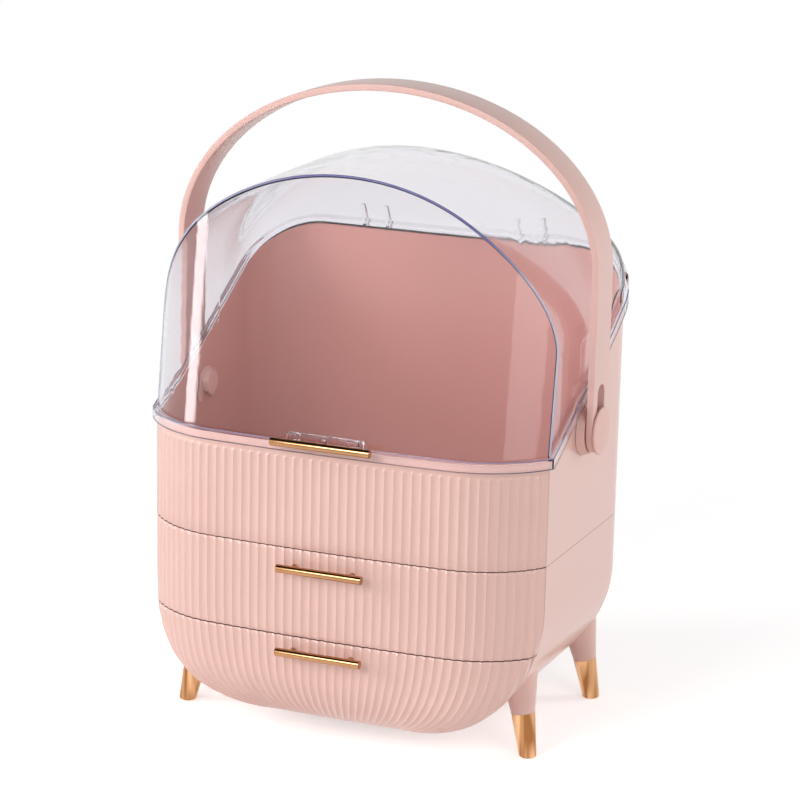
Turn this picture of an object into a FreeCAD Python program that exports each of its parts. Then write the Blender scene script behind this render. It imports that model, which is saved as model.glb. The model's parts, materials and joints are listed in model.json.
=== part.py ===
"""Makeup storage case: fluted two-drawer body, domed clear lid and a swinging carry handle.

Millimetres. +X is right, the front faces -Y, +Z is up. The origin is on the surface that the case
stands on, under the middle of its bounding box.
"""
import FreeCAD, Part
import os
from math import asin, atan, cos, pi, radians, sin, sqrt, tan

from FreeCAD import Placement, Rotation, Vector

doc = FreeCAD.newDocument("storage_case")
sheet = doc.addObject("Spreadsheet::Sheet", "Sizes")

SIZES = (
    # Plan of the case: a bowed front, straight sides and rounded rear corners.
    ("case_half_width", 135),
    ("front_reach", 99.5),       # from the origin to the smooth front, ribs not counted
    ("back_reach", 103.5),
    ("front_radius", 1340),      # the nearly flat middle of the front
    ("shoulder_radius", 68.4),   # the tighter arc that turns the front towards each side
    ("corner_turn", 58.48),      # how far the front has turned where it meets a side
    ("rear_corner", 42),
    # Heights.
    ("belly_height", 12),
    ("belly_radius", 90),        # lower corners seen from the front
    ("bowl_radius", 38),         # rounding under the front and under the back
    ("rear_bowl_margin", 4),     # how much tighter the round under the back is than its corners
    ("corner_radius", 1.5),      # upright front corners
    ("split_low", 75),
    ("split_high", 133),
    ("rim_height", 201.2),       # rim at the front; the sides climb from here to the back
    ("rim_slope", 26.6),         # at the start of the climb, which steepens a little
    ("rim_climb", 99.8),         # from the front to the back
    # Walls and running gaps.
    ("case_wall", 2.6),
    ("slide_gap", 0.9),
    ("seat_gap", 0.3),
    ("seam", 0.4),
    ("tray_wall", 2),
    ("tray_back_gap", 13.5),     # behind the trays
    ("tray_back", "=back_reach - tray_back_gap"),
    ("tray_slack", 0.8),         # more room beside and below the trays
    ("shelf_thickness", 2.6),
    ("ledge_width", 5),
    ("ledge_thickness", 3),
    ("runner_offset", 40),       # two rails under the lower tray
    ("runner_width", 6),
    ("fit", 0.1),                # between pieces that are pushed together
    ("sunk", 0.5),               # how far a joined-on feature starts inside its base
    # Ribs of the front: sharp crests between hollow flutes.
    ("rib_pitch", 6.1),
    ("rib_margin", 9),           # from each front corner to the middle of the last rib
    ("rib_width", 5.2),          # at the foot; a narrow strip in each flute stays smooth
    ("rib_height", 0.9),
    ("rib_top_margin", 7.8),
    ("rib_fade", 2.4),           # how far the ribs' envelope is raised, so that they fade out below
    # Lid.
    ("lid_wall", 2.2),
    ("lid_lean", 7.5),
    ("arch_wall_height", 60.8),   # the lid's straight sides, above the rim
    ("arch_rise", 105.5),        # the lid's arch above its straight sides
    ("arch_spring", "=rim_height + arch_wall_height"),
    ("arch_top", "=arch_spring + arch_rise"),
    ("crown_rise", 4),           # how much the arch climbs from the front to the crown
    ("crown_back", 22.5),        # where the top starts to round down to the back
    ("flange_thickness", 1.8),
    ("skirt_depth", 4.4),
    ("skirt_gap", 1.2),
    ("flange_reach", "=skirt_gap + flange_thickness"),
    ("lid_gap", 0.5),            # under the lid's flange
    # Hinge.
    ("hinge_offset", 55.4),
    ("hinge_pin_radius", 1.5),
    ("hinge_barrel_wall", 2.05),
    ("hinge_barrel_radius", "=hinge_pin_radius + hinge_barrel_wall"),
    ("hinge_wall_gap", 0.75),    # between the ears and the rear wall
    ("hinge_axis_back", "=hinge_barrel_radius + hinge_wall_gap"),
    ("hinge_drop", 12),          # from the rim at the back down to the pins
    ("ear_inside", 7.2),
    ("ear_thickness", 2.4),
    ("ear_climb", 15.5),         # the ears' root, above the rim at the back
    ("pin_gap", 0.06),
    # Bar pulls.
    ("pull_radius", 2.7),
    ("pull_length", 57.8),
    ("pull_standoff", 7.7),
    ("pull_post_offset", 20),
    ("pull_pad_wall", 1.6),      # behind the fronts, round the pulls' screws
    ("pull_pad_depth", 4),
    ("upper_pull_drop", 11.8),   # from the upper split down to the upper bar
    ("upper_pull_height", "=split_high - upper_pull_drop"),
    ("lower_pull_drop", 9.1),
    ("lower_pull_height", "=split_low - lower_pull_drop"),
    ("lid_pull_length", 67),
    ("lid_pull_climb", 2.4),
    ("lid_pull_height", "=rim_height + lid_pull_climb"),
    ("lid_pull_standoff", 9.1),
    ("bracket_half_length", 26),
    ("bracket_height", 5),
    ("bracket_lug_reach", 2.6),
    ("screw_radius", 1.2),
    ("pull_post_wall", 0.8),
    ("pull_post_radius", "=screw_radius + pull_post_wall"),
    ("screw_gap", 0.15),
    ("screw_bite", 3),           # length of the pulls' screws beyond the tray
    ("screw_hole_gap", 0.05),
    ("screw_hole_depth", 5),
    ("screw_head_radius", 2.9),
    ("screw_head_height", 1.6),
    ("case_screw_offset", 70),   # the two screws between the upper case and the lower housing
    ("boss_radius", 4.2),
    ("boss_overlap", 0.7),       # how far the bosses run into the rear wall
    ("boss_height", 24),
    ("boss_end", 4),             # solid end of the bosses
    ("case_screw_length", 14),
    # Handle and its pivots.
    ("pivot_back", -1.5),
    ("pivot_climb", 5.8),        # pivots above the rim in front
    ("pivot_height", "=rim_height + pivot_climb"),
    ("strap_width", 28.4),
    ("strap_thickness", 4.4),
    ("strap_edge", 0.7),         # rounding of the strap's edges
    ("handle_gap", 5.8),         # between the strap and the side of the case
    ("handle_half_width", "=case_half_width + handle_gap + strap_thickness"),
    ("handle_straight", 101.3),    # from the pivots up to the start of the arch
    ("handle_spring", "=pivot_height + handle_straight"),
    ("hand_room", 49.5),         # from the lid's front arch up to the strap's outer face
    ("handle_top", "=arch_top + hand_room"),
    ("pivot_pin_radius", 6),
    ("turn_gap", 0.06),
    ("bush_wall", 2),
    ("bush_sleeve_radius", "=pivot_pin_radius + bush_wall"),
    ("bush_collar_reach", 7),
    ("bush_collar_flare", 2),    # how much wider the collar is at the case
    ("bush_collar_radius", "=bush_sleeve_radius + bush_collar_reach"),
    ("bush_end_gap", 0.7),       # between the collar and the strap
    ("bush_inside", 6.5),        # how far the sleeve stands into the case
    ("groove_depth", 1),
    ("groove_radius", "=bush_sleeve_radius - groove_depth"),
    ("clip_thickness", 1.8),
    ("clip_reach", 2.5),
    ("clip_half_width", "=bush_sleeve_radius + clip_reach"),
    ("keyhole_radius", 9.2),
    ("slot_half_width", 6.5),
    ("slot_rise", 30),
    ("shank_gap", 0.3),
    ("button_lap", 6.2),         # how far the buttons reach past the keyholes
    ("button_radius", "=keyhole_radius + button_lap"),
    ("button_gap", 0.2),         # between the buttons and the strap
    ("button_thickness", 1.8),
    ("button_dome", 0.7),        # rise of the buttons' outer face
    # Legs.
    ("foot_inset", 14),          # from the sides of the case
    ("foot_offset", "=case_half_width - foot_inset"),
    ("foot_front_inset", 52.8),
    ("foot_front", "=front_reach - foot_front_inset"),
    ("foot_back_inset", 27.3),
    ("foot_back", "=back_reach - foot_back_inset"),
    ("leg_splay_side", 5),
    ("leg_splay_along", 2.5),
    ("tip_length", 28.4),
    ("tip_top_radius", 7.8),
    ("tip_foot_radius", 5.4),
    ("tip_foot_round", 1.4),
    ("tip_wall", 3.6),
    ("leg_flare", 5.5),          # how much wider the legs are where they meet the case
    ("spigot_radius", "=tip_top_radius - tip_wall"),
    ("spigot_length", 12),
)

for row, (alias, value) in enumerate(SIZES, 1):
    sheet.set("A%d" % row, alias)
    sheet.set("B%d" % row, str(value))
    sheet.setAlias("B%d" % row, alias)
doc.recompute()


def size(alias):
    return float(getattr(sheet, alias))


half_width = size("case_half_width")
front = size("front_reach")
back = size("back_reach")
wall = size("case_wall")
seam = size("seam")
split_low = size("split_low")
split_high = size("split_high")
rim_height = size("rim_height")

seat = size("seat_gap")
front_wall = wall + size("slide_gap")

FAR = 400
X_AXIS = Vector(1, 0, 0)
Y_AXIS = Vector(0, 1, 0)
Z_AXIS = Vector(0, 0, 1)
PLANES = {
    "XY": (Rotation(), "z"),
    "XZ": (Rotation(X_AXIS, 90), "y"),
    "YZ": (Rotation(Vector(1, 1, 1), 120), "x"),
}
SIDES = (("left", -1), ("right", 1))

# Centre of each shoulder arc, the angle at which it meets the middle arc, and the front corners.
shoulder_reach = size("shoulder_radius") * sin(radians(size("corner_turn")))
shoulder_x = half_width - shoulder_reach
shoulder_spread = size("front_radius") - size("shoulder_radius")
shoulder_start = asin(shoulder_x / shoulder_spread)
shoulder_y = size("front_radius") - front - cos(shoulder_start) * shoulder_spread


# ---------------------------------------------------------------- document helpers

def line(start, end):
    return Part.LineSegment(Vector(*start, 0), Vector(*end, 0))


def arc(start, middle, end):
    return Part.Arc(Vector(*start, 0), Vector(*middle, 0), Vector(*end, 0))


def polygon(points):
    return [line(a, b) for a, b in zip(points, points[1:] + points[:1])]


def circle(centre, radius):
    return Part.Circle(Vector(*centre, 0), Z_AXIS, radius)


def sketch(name, curves, plane="XY", at=None):
    """A free-standing sketch; `at` is an expression for its place along the plane's normal."""
    rotation, normal = PLANES[plane]
    drawn = doc.addObject("Sketcher::SketchObject", name)
    drawn.addGeometry(curves, False)
    drawn.Placement = Placement(Vector(), rotation)
    if at is not None:
        drawn.setExpression("Placement.Base.%s" % normal, at)
    return drawn


def extrusion(name, profile, direction, length):
    solid = doc.addObject("Part::Extrusion", name)
    solid.Base = profile
    solid.DirMode = "Custom"
    solid.Dir = direction
    solid.Solid = True
    solid.setExpression("LengthFwd", length)
    return solid


def cut(name, base, tool):
    solid = doc.addObject("Part::Cut", name)
    solid.Base = base
    solid.Tool = tool
    return solid


def fuse(name, shapes):
    solid = doc.addObject("Part::MultiFuse", name)
    solid.Shapes = shapes
    solid.Refine = True
    return solid


def common(name, first, second):
    solid = doc.addObject("Part::MultiCommon", name)
    solid.Shapes = [first, second]
    return solid


def block(name, low, high):
    """A box between two corners, each a triple of expressions or numbers."""
    solid = doc.addObject("Part::Box", name)
    for axis, side, start, end in zip("xyz", ("Length", "Width", "Height"), low, high):
        solid.setExpression("Placement.Base.%s" % axis, str(start))
        solid.setExpression(side, "(%s) - (%s)" % (end, start))
    return solid


def rod(name, radius, length, at, direction):
    """A cylinder from the point `at` along an axis; radius and length are expressions."""
    solid = doc.addObject("Part::Cylinder", name)
    solid.setExpression("Radius", radius)
    solid.setExpression("Height", length)
    solid.Placement = Placement(Vector(), Rotation(Z_AXIS, direction))
    for axis, place in zip("xyz", at):
        solid.setExpression("Placement.Base.%s" % axis, str(place))
    return solid


def rounded_edges(name, solid, choose, radius):
    """The solid with the edges that `choose` picks rounded."""
    doc.recompute()
    picked = [index for index, edge in enumerate(solid.Shape.Edges, 1) if choose(edge)]
    rounded = doc.addObject("Part::Fillet", name)
    rounded.Base = solid
    rounded.Edges = [(index, radius, radius) for index in picked]
    return rounded


def finish(solid, label):
    solid.Label = label
    SUB_PARTS.append(solid)
    return solid


SUB_PARTS = []


# ---------------------------------------------------------------- outlines

def shoulder_point(angle, side, grow):
    radius = size("shoulder_radius") + grow
    return (side * (shoulder_x + radius * sin(angle)), shoulder_y - radius * cos(angle))


def corner_angle(grow):
    return asin((half_width + grow - shoulder_x) / (size("shoulder_radius") + grow))


def bowed_front(grow):
    """Three tangent arcs from the left front corner to the right one, `grow` outside the case."""
    end = corner_angle(grow)
    middle = (shoulder_start + end) / 2
    left, right = (
        [shoulder_point(angle, side, grow) for angle in (end, middle, shoulder_start)]
        for side in (-1, 1)
    )
    return [arc(*left), arc(left[2], (0, -front - grow), right[2]), arc(right[2], right[1], right[0])]


def case_outline(grow):
    """Plan of the whole case, `grow` outside its smooth outer face."""
    left = shoulder_point(corner_angle(grow), -1, grow)
    right = shoulder_point(corner_angle(grow), 1, grow)
    radius = size("rear_corner") + grow
    centre_x = half_width - size("rear_corner")
    centre_y = back - size("rear_corner")
    edge = half_width + grow
    rear = back + grow
    bend_x = centre_x + radius * sqrt(0.5)
    bend_y = centre_y + radius * sqrt(0.5)
    return bowed_front(grow) + [
        line(right, (edge, centre_y)),
        arc((edge, centre_y), (bend_x, bend_y), (centre_x, rear)),
        line((centre_x, rear), (-centre_x, rear)),
        arc((-centre_x, rear), (-bend_x, bend_y), (-edge, centre_y)),
        line((-edge, centre_y), left),
    ]


def open_backed_outline(grow):
    """The bowed front with sides that run far behind the case."""
    left = shoulder_point(corner_angle(grow), -1, grow)
    right = shoulder_point(corner_angle(grow), 1, grow)
    edge = half_width + grow
    return bowed_front(grow) + polygon([right, (edge, FAR), (-edge, FAR), left])[:3]


def belly_outline(grow):
    """Front view of the case: straight sides on a round-cornered bottom."""
    radius = size("belly_radius") + grow
    centre_x = half_width - size("belly_radius")
    centre_z = size("belly_height") + size("belly_radius")
    bottom = size("belly_height") - grow
    edge = half_width + grow
    bend_x = centre_x + radius * sqrt(0.5)
    bend_z = centre_z - radius * sqrt(0.5)
    return [
        line((edge, FAR), (-edge, FAR)),
        line((-edge, FAR), (-edge, centre_z)),
        arc((-edge, centre_z), (-bend_x, bend_z), (-centre_x, bottom)),
        line((-centre_x, bottom), (centre_x, bottom)),
        arc((centre_x, bottom), (bend_x, bend_z), (edge, centre_z)),
        line((edge, centre_z), (edge, FAR)),
    ]


front_corner = shoulder_point(corner_angle(0), 1, 0)[1]

# The rim's climb is an arc, seen from the side: its radius and its centre.
climb_start = radians(size("rim_slope"))
climb_end = 2 * atan(size("rim_climb") / (back - front_corner)) - climb_start
climb_radius = (back - front_corner) / (sin(climb_end) - sin(climb_start))
climb_centre = (front_corner - climb_radius * sin(climb_start),
                rim_height + climb_radius * cos(climb_start))


def climb_height(y, lift):
    return climb_centre[1] - sqrt((climb_radius - lift) ** 2 - (y - climb_centre[0]) ** 2)


def rim_line(lift):
    """Side view of the rim moved `lift` outwards: level in front, then climbing to the back."""
    level = rim_height + lift
    kink = climb_centre[0] + sqrt((climb_radius - lift) ** 2 - (climb_centre[1] - level) ** 2)
    past = 2 * back
    climb = [(y, climb_height(y, lift)) for y in (kink, (kink + past) / 2, past)]
    return [line((-FAR, level), climb[0]), arc(*climb)]


def rim_at(y):
    """Height of the rim at a place along the side."""
    return climb_height(max(y, front_corner), 0)


hinge_z = rim_at(back) - size("hinge_drop")


def ends(curve):
    return [(point.x, point.y) for point in (curve.StartPoint, curve.EndPoint)]


def above_rim(lift):
    level, climb = rim_line(lift)
    start, end = ends(level)[0], ends(climb)[1]
    return [level, climb, line(end, (end[0], 3 * FAR)), line((end[0], 3 * FAR), (start[0], 3 * FAR)),
            line((start[0], 3 * FAR), start)]


def rim_band(low, high):
    lower, upper = rim_line(low), rim_line(high)
    return lower + upper + [line(ends(lower[0])[0], ends(upper[0])[0]),
                            line(ends(lower[1])[1], ends(upper[1])[1])]


def across(name, curves):
    """A side-view outline extruded over the whole width."""
    profile = sketch(name + "_outline", curves, "YZ")
    solid = extrusion(name, profile, X_AXIS, str(2 * FAR))
    profile.Placement.Base.x = -FAR
    return solid


# ---------------------------------------------------------------- case shells

def case_form(name, grow, lift=0, slack=0):
    """The closed form of the lower case up to the upper split, `grow` outside its outer face.

    With a lift, the bottom is raised, so that a grown form sinks into the bowl on its way under.
    With slack, the sides and the bottom stand in by that much more than the front and back do.
    """
    plan = extrusion(name + "_plan", sketch(name + "_plan_outline", case_outline(grow)), Z_AXIS,
                     "Sizes.split_high")
    view = sketch(name + "_view_outline", belly_outline(grow - slack), "XZ")
    view.Placement.Base = Vector(0, -FAR, lift)
    trough = extrusion(name + "_view", view, Y_AXIS, str(2 * FAR))
    sharp = common(name + "_sharp", plan, trough)
    doc.recompute()
    rounded = doc.addObject("Part::Fillet", name)
    rounded.Base = sharp
    shrink = min(grow, 0)
    rear_limit = size("rear_corner") - size("rear_bowl_margin")
    rounded.Edges = bowl_edges(sharp.Shape, size("bowl_radius") + shrink,
                               min(size("bowl_radius"), rear_limit) + shrink)
    return rounded


def bowl_edges(shape, bowl, rear_bowl):
    """Edges to round, with their radii at both ends.

    The bottom is round in front and at the back. Each front corner starts nearly crisp at the top
    and turns softer down its curved edge, until it joins the round bottom. At the back the round
    bottom stays tighter than the upright rear corners.
    """
    crisp = size("corner_radius")
    edges = []
    for index, edge in enumerate(shape.Edges, 1):
        box = edge.BoundBox
        at_front = box.YMax < front_corner + 5
        at_rear = box.YMin > back - size("rear_corner") - 5
        upright = box.XLength < 0.1
        at_side = max(box.XMax, -box.XMin) > half_width - 10
        if box.ZMin > split_high - 1:
            continue
        if at_front and upright:
            edges.append((index, crisp, crisp))
        elif at_front and at_side:
            climbs = edge.Vertexes[0].Point.z < edge.Vertexes[-1].Point.z
            edges.append((index, bowl, crisp) if climbs else (index, crisp, bowl))
        elif at_front:
            edges.append((index, bowl, bowl))
        elif at_rear and not upright:
            edges.append((index, rear_bowl, rear_bowl))
    return edges


def rib_stations():
    """Centre, outward direction and turning angle of every rib, spread along the bowed front."""
    middle_half = size("front_radius") * shoulder_start
    half_length = middle_half + size("shoulder_radius") * (corner_angle(0) - shoulder_start)
    count = 1 + int(2 * (half_length - size("rib_margin")) / size("rib_pitch"))
    stations = []
    for index in range(count):
        along = (index - (count - 1) / 2) * size("rib_pitch")
        side = -1 if along < 0 else 1
        past = abs(along) - middle_half
        if past < 0:
            angle = along / size("front_radius")
            x = size("front_radius") * sin(angle)
            y = size("front_radius") * (1 - cos(angle)) - front
        else:
            turn = shoulder_start + past / size("shoulder_radius")
            x, y = shoulder_point(turn, side, 0)
            angle = side * turn
        stations.append((x, y, angle))
    return stations


def flute_arc(x, y, angle, side):
    """One side of a rib, hollow like half of the flute beside it: from the flute to the crest."""
    half_pitch = size("rib_pitch") / 2
    half = size("rib_width") / 2
    height = size("rib_height")
    radius = (half_pitch ** 2 + height ** 2) / (2 * height)
    out = Vector(sin(angle), -cos(angle))
    along = Vector(cos(angle), sin(angle)) * side
    points = []
    for reach in (half, half / 2, 0):
        rise = radius - sqrt(radius ** 2 - (half_pitch - reach) ** 2)
        points.append(Vector(x, y) + along * reach + out * rise)
    return points


def rib_outlines():
    """Crested ribs with hollow sides: each stands on a chord sunk a little under the smooth face."""
    half = size("rib_width") / 2
    sunk = 0.4
    curves = []
    for x, y, angle in rib_stations():
        out = Vector(sin(angle), -cos(angle))
        along = Vector(cos(angle), sin(angle))
        foot = Vector(x, y) - out * sunk
        left = foot - along * half
        right = foot + along * half
        left_side = flute_arc(x, y, angle, -1)
        right_side = flute_arc(x, y, angle, 1)
        curves += [
            Part.Arc(*left_side),
            Part.Arc(*right_side),
            Part.LineSegment(right_side[0], right),
            Part.LineSegment(right, left),
            Part.LineSegment(left, left_side[0]),
        ]
    return curves


def ribs(name, low, high):
    """The ribs of one tier between two heights, given as expressions."""
    outline = sketch(name + "_outline", rib_outlines(), "XY", low)
    return extrusion(name, outline, Z_AXIS, "(%s) - (%s)" % (high, low))


def make_upper_case():
    shell = extrusion("upper_block", sketch("upper_plan", case_outline(0), "XY", "Sizes.split_high"),
                      Z_AXIS, str(FAR))
    cavity = extrusion("upper_cavity",
                       sketch("upper_cavity_plan", case_outline(-wall), "XY",
                              "Sizes.split_high + Sizes.case_wall"), Z_AXIS, str(FAR))
    open_shell = cut("upper_open", shell, cavity)
    trimmed = cut("upper_trimmed", open_shell, across("over_rim", above_rim(0)))
    front_ribs = ribs("upper_ribs", "Sizes.split_high", "Sizes.rim_height - Sizes.rib_top_margin")
    knuckles = [hinge_knuckle(side, name) for name, side in SIDES]
    whole = fuse("upper_whole", [trimmed, front_ribs] + knuckles)
    holes = [
        rod("pivot_hole_" + name, "Sizes.bush_sleeve_radius + Sizes.turn_gap", "4 * Sizes.case_wall",
            ("%d * Sizes.case_half_width - 2 * Sizes.case_wall" % side, "Sizes.pivot_back",
             "Sizes.pivot_height"), X_AXIS)
        for name, side in SIDES
    ]
    holes += [
        rod("hinge_bore_" + name, "Sizes.hinge_pin_radius + Sizes.pin_gap", "4 * Sizes.ear_inside",
            ("%d * Sizes.hinge_offset - 2 * Sizes.ear_inside" % side,
             "Sizes.back_reach + Sizes.hinge_axis_back", "%g" % hinge_z), X_AXIS)
        for name, side in SIDES
    ]
    holes += [screw_bore("floor_bore_" + name, side) for name, side in SIDES]
    finish(cut("upper_case_bored", whole, fuse("upper_holes", holes)), "upper_case")


def hinge_knuckle(side, name):
    """A lug behind the rear wall, between a pair of lid ears."""
    radius = size("hinge_barrel_radius")
    y = back + size("hinge_axis_back")
    z = hinge_z
    root = back - wall / 2
    outline = [
        line((root, z + radius), (y, z + radius)),
        arc((y, z + radius), (y + radius, z), (y, z - radius)),
        line((y, z - radius), (root, z - 4 * radius)),
        line((root, z - 4 * radius), (root, z + radius)),
    ]
    inset = size("ear_inside") - seat
    profile = sketch("knuckle_outline_" + name, outline, "YZ",
                     "%d * Sizes.hinge_offset - %g" % (side, inset))
    return extrusion("knuckle_" + name, profile, X_AXIS, "%g" % (2 * inset))


boss_y = back - wall - size("boss_radius") + size("boss_overlap")


def screw_bore(name, side):
    """A bore through the upper case's floor that runs on down the boss under it."""
    depth = "Sizes.boss_height - Sizes.boss_end"
    return rod(name, "Sizes.screw_radius + Sizes.screw_gap", depth + " + 2 * Sizes.case_wall",
               ("%d * Sizes.case_screw_offset" % side, "%g" % boss_y,
                "Sizes.split_high - (%s)" % depth), Z_AXIS)


def leg_axis(side, end):
    """Tip and direction of a leg; `end` is -1 at the front and 1 at the back."""
    along = size("foot_back") if end > 0 else -size("foot_front")
    foot = Vector(side * size("foot_offset"), along, 0)
    up = Vector(-side * size("leg_splay_side"), -end * size("leg_splay_along"), size("tip_length"))
    return foot, up.normalize()


LEGS = tuple(
    ("%s_%s" % (end_name, side_name), side, end)
    for end_name, end in (("front", -1), ("rear", 1))
    for side_name, side in SIDES
)


def place_on_leg(solid, side, end, distance):
    foot, up = leg_axis(side, end)
    solid.Placement = Placement(foot + up * distance, Rotation(Z_AXIS, up))


def leg_socket(name, side, end):
    cone = doc.addObject("Part::Cone", "leg_socket_" + name)
    cone.setExpression("Radius1", "Sizes.tip_top_radius - Sizes.fit")
    cone.setExpression("Radius2", "Sizes.tip_top_radius + Sizes.leg_flare")
    cone.setExpression("Height", "1.2 * Sizes.tip_length")
    place_on_leg(cone, side, end, size("tip_length"))
    return cone


def leg_spigot(name, side, end):
    spigot = doc.addObject("Part::Cylinder", "leg_spigot_" + name)
    spigot.setExpression("Radius", "Sizes.spigot_radius")
    spigot.setExpression("Height", "Sizes.spigot_length + 5")
    place_on_leg(spigot, side, end, size("tip_length") - size("spigot_length"))
    return spigot


def make_lower_housing():
    solid_form = case_form("housing_form", 0)
    sockets = [leg_socket(*leg) for leg in LEGS] + [leg_spigot(*leg) for leg in LEGS]
    body = fuse("housing_with_sockets", [solid_form] + sockets)
    hollow = cut("housing_hollow", body, case_form("housing_cavity", -wall))
    behind_fronts = block("housing_reach", (-FAR, "%g" % (front_corner + seam / 2), -10),
                          (FAR, FAR, "Sizes.split_high"))
    shell = common("housing_shell", hollow, behind_fronts)
    inner_bottom = "Sizes.belly_height + Sizes.case_wall"
    runners = [
        block("runner_" + name,
              ("%d * Sizes.runner_offset - 0.5 * Sizes.runner_width" % side,
               "%g" % (front_corner + 2), inner_bottom + " - Sizes.sunk"),
              ("%d * Sizes.runner_offset + 0.5 * Sizes.runner_width" % side,
               "%g" % (back - size("bowl_radius")),
               inner_bottom + " + Sizes.slide_gap + Sizes.tray_slack - 0.5 * Sizes.seat_gap"))
        for name, side in SIDES
    ]
    bosses = [
        rod("boss_" + name, "Sizes.boss_radius", "Sizes.boss_height",
            ("%d * Sizes.case_screw_offset" % side, "%g" % boss_y,
             "Sizes.split_high - Sizes.boss_height"), Z_AXIS)
        for name, side in SIDES
    ]
    fitted = fuse("housing_fitted", [shell, shelf_ledge()] + runners + bosses)
    bores = fuse("housing_bores", [screw_bore("boss_bore_" + name, side) for name, side in SIDES])
    finish(cut("housing_bored", fitted, bores), "lower_housing")


SHELF_TOP = "Sizes.split_low + 1"
LEDGE_TOP = SHELF_TOP + " - Sizes.shelf_thickness"


def shelf_ledge():
    """A ledge along both inner sides that the shelf between the drawers lies on."""
    low = LEDGE_TOP + " - Sizes.ledge_thickness"
    start = "%g" % (front_corner + 1)
    end = "%g" % (back - size("rear_corner"))
    band = common("ledge_band", case_form("ledge_form", -wall / 2),
                  block("ledge_space", (-FAR, start, low), (FAR, end, LEDGE_TOP)))
    radius = size("belly_radius")
    below_straight = max(0, size("belly_height") + radius - split_low)
    lower_half_width = half_width - radius + sqrt(radius ** 2 - below_straight ** 2)
    reach = lower_half_width - wall - size("ledge_width")
    middle = block("ledge_middle", (-reach, -FAR, low + " - 1"), (reach, FAR, LEDGE_TOP + " + 1"))
    return cut("ledges", band, middle)


def make_drawer_shelf():
    form = case_form("shelf_form", -wall - size("fit"))
    slab = block("shelf_slab", (-FAR, "%g" % (front_corner + 1), LEDGE_TOP), (FAR, FAR, SHELF_TOP))
    finish(common("shelf_plate", form, slab), "drawer_shelf")


def make_case_screws():
    screws = []
    for name, side in SIDES:
        at = ("%d * Sizes.case_screw_offset" % side, "%g" % boss_y)
        shank = rod("case_screw_shank_" + name, "Sizes.screw_radius", "Sizes.case_screw_length",
                    at + ("Sizes.split_high + Sizes.case_wall - Sizes.case_screw_length",), Z_AXIS)
        head = rod("case_screw_head_" + name, "Sizes.screw_head_radius", "Sizes.screw_head_height",
                   at + ("Sizes.split_high + Sizes.case_wall",), Z_AXIS)
        screws.append(fuse("case_screw_" + name, [shank, head]))
    finish(group("case_screw_group", screws), "case_screws")


def group(name, solids):
    gathered = doc.addObject("Part::Compound", name)
    gathered.Links = solids
    return gathered


# ---------------------------------------------------------------- legs

def make_leg_tip(name, side, end):
    """A metal cup, tapered and round-edged, pushed on the socket's spigot and flat on the floor."""
    body = doc.addObject("PartDesign::Body", "tip_body_" + name)
    top = size("tip_length")
    foot = -3  # below the floor, where the leaning cup is cut off
    outline = body_sketch(body, "tip_outline_" + name, "XZ_Plane", polygon([
        (0, foot), (size("tip_foot_radius"), foot), (size("tip_top_radius"), top), (0, top)]))
    turned = body.newObject("PartDesign::Revolution", "tip_turned_" + name)
    turned.Profile = outline
    turned.ReferenceAxis = (outline, ["V_Axis"])
    mouth = body_sketch(body, "tip_mouth_" + name, "XY_Plane",
                        [circle((0, 0), size("spigot_radius") + size("fit"))], "Sizes.tip_length")
    bore = body.newObject("PartDesign::Pocket", "tip_bore_" + name)
    bore.Profile = mouth
    bore.setExpression("Length", "Sizes.spigot_length + 0.5")
    place_on_leg(body, side, end, 0)
    below_floor = block("tip_floor_" + name, (-FAR, -FAR, -FAR), (FAR, FAR, 0))
    standing = cut("tip_" + name, body, below_floor)
    finish(rounded_edges("tip_rounded_" + name, standing, lambda edge: edge.BoundBox.ZMax < 0.01,
                         size("tip_foot_round")), "leg_tip_" + name)


# ---------------------------------------------------------------- drawers

PULL_SEAT = "-Sizes.front_reach - Sizes.rib_height"
# Bores run through both the ribbed front and the tray's front wall.
BORE_START = "-Sizes.front_reach - 15"
BORE_LENGTH = "30"


def rib_fins():
    """Crested ribs carried inwards, tapering on the shoulders, to be trimmed to the bowl."""
    depth = size("bowl_radius") / 2
    half = size("rib_width") / 2
    curves = []
    for x, y, angle in rib_stations():
        on_shoulder = abs(angle) > shoulder_start
        radius = size("shoulder_radius") if on_shoulder else size("front_radius")
        taper = (radius - depth) / radius
        out = Vector(sin(angle), -cos(angle))
        along = Vector(cos(angle), sin(angle))
        inner = Vector(x, y) - out * depth
        left, right = flute_arc(x, y, angle, -1), flute_arc(x, y, angle, 1)
        inner_left, inner_right = inner - along * half * taper, inner + along * half * taper
        curves += [
            Part.Arc(*left),
            Part.Arc(*right),
            Part.LineSegment(right[0], inner_right),
            Part.LineSegment(inner_right, inner_left),
            Part.LineSegment(inner_left, left[0]),
        ]
    return curves


def ribbed_skin():
    """Both drawer fronts in one: a bowl-shaped skin with ribs that fade out underneath."""
    before_seam = block("front_reach_block", (-FAR, -FAR, 0),
                        (FAR, "%g" % (front_corner - seam / 2), "Sizes.split_high"))
    fins = extrusion("front_fins", sketch("front_fin_outline", rib_fins()), Z_AXIS,
                     "Sizes.split_high")
    room = 0.3
    form = case_form("rib_envelope_form", size("rib_height") + room, size("rib_fade"))
    envelope = cut("rib_envelope", common("rib_envelope_front", form, before_seam),
                   case_form("rib_roots", -front_wall / 2))
    front_ribs = common("front_ribs", fins, envelope)
    hollow = cut("front_hollow", case_form("front_form", 0), case_form("front_inside", -front_wall))
    return fuse("front_ribbed", [common("front_skin", hollow, before_seam), front_ribs])


def pull_rods(name, radius, start, length, height, direction=-Y_AXIS):
    """A pair of rods on the axes of a pull's posts."""
    return [
        rod("%s_%s" % (name, side_name), radius, length,
            ("%d * Sizes.pull_post_offset" % side, start, height), direction)
        for side_name, side in SIDES
    ]


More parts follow.
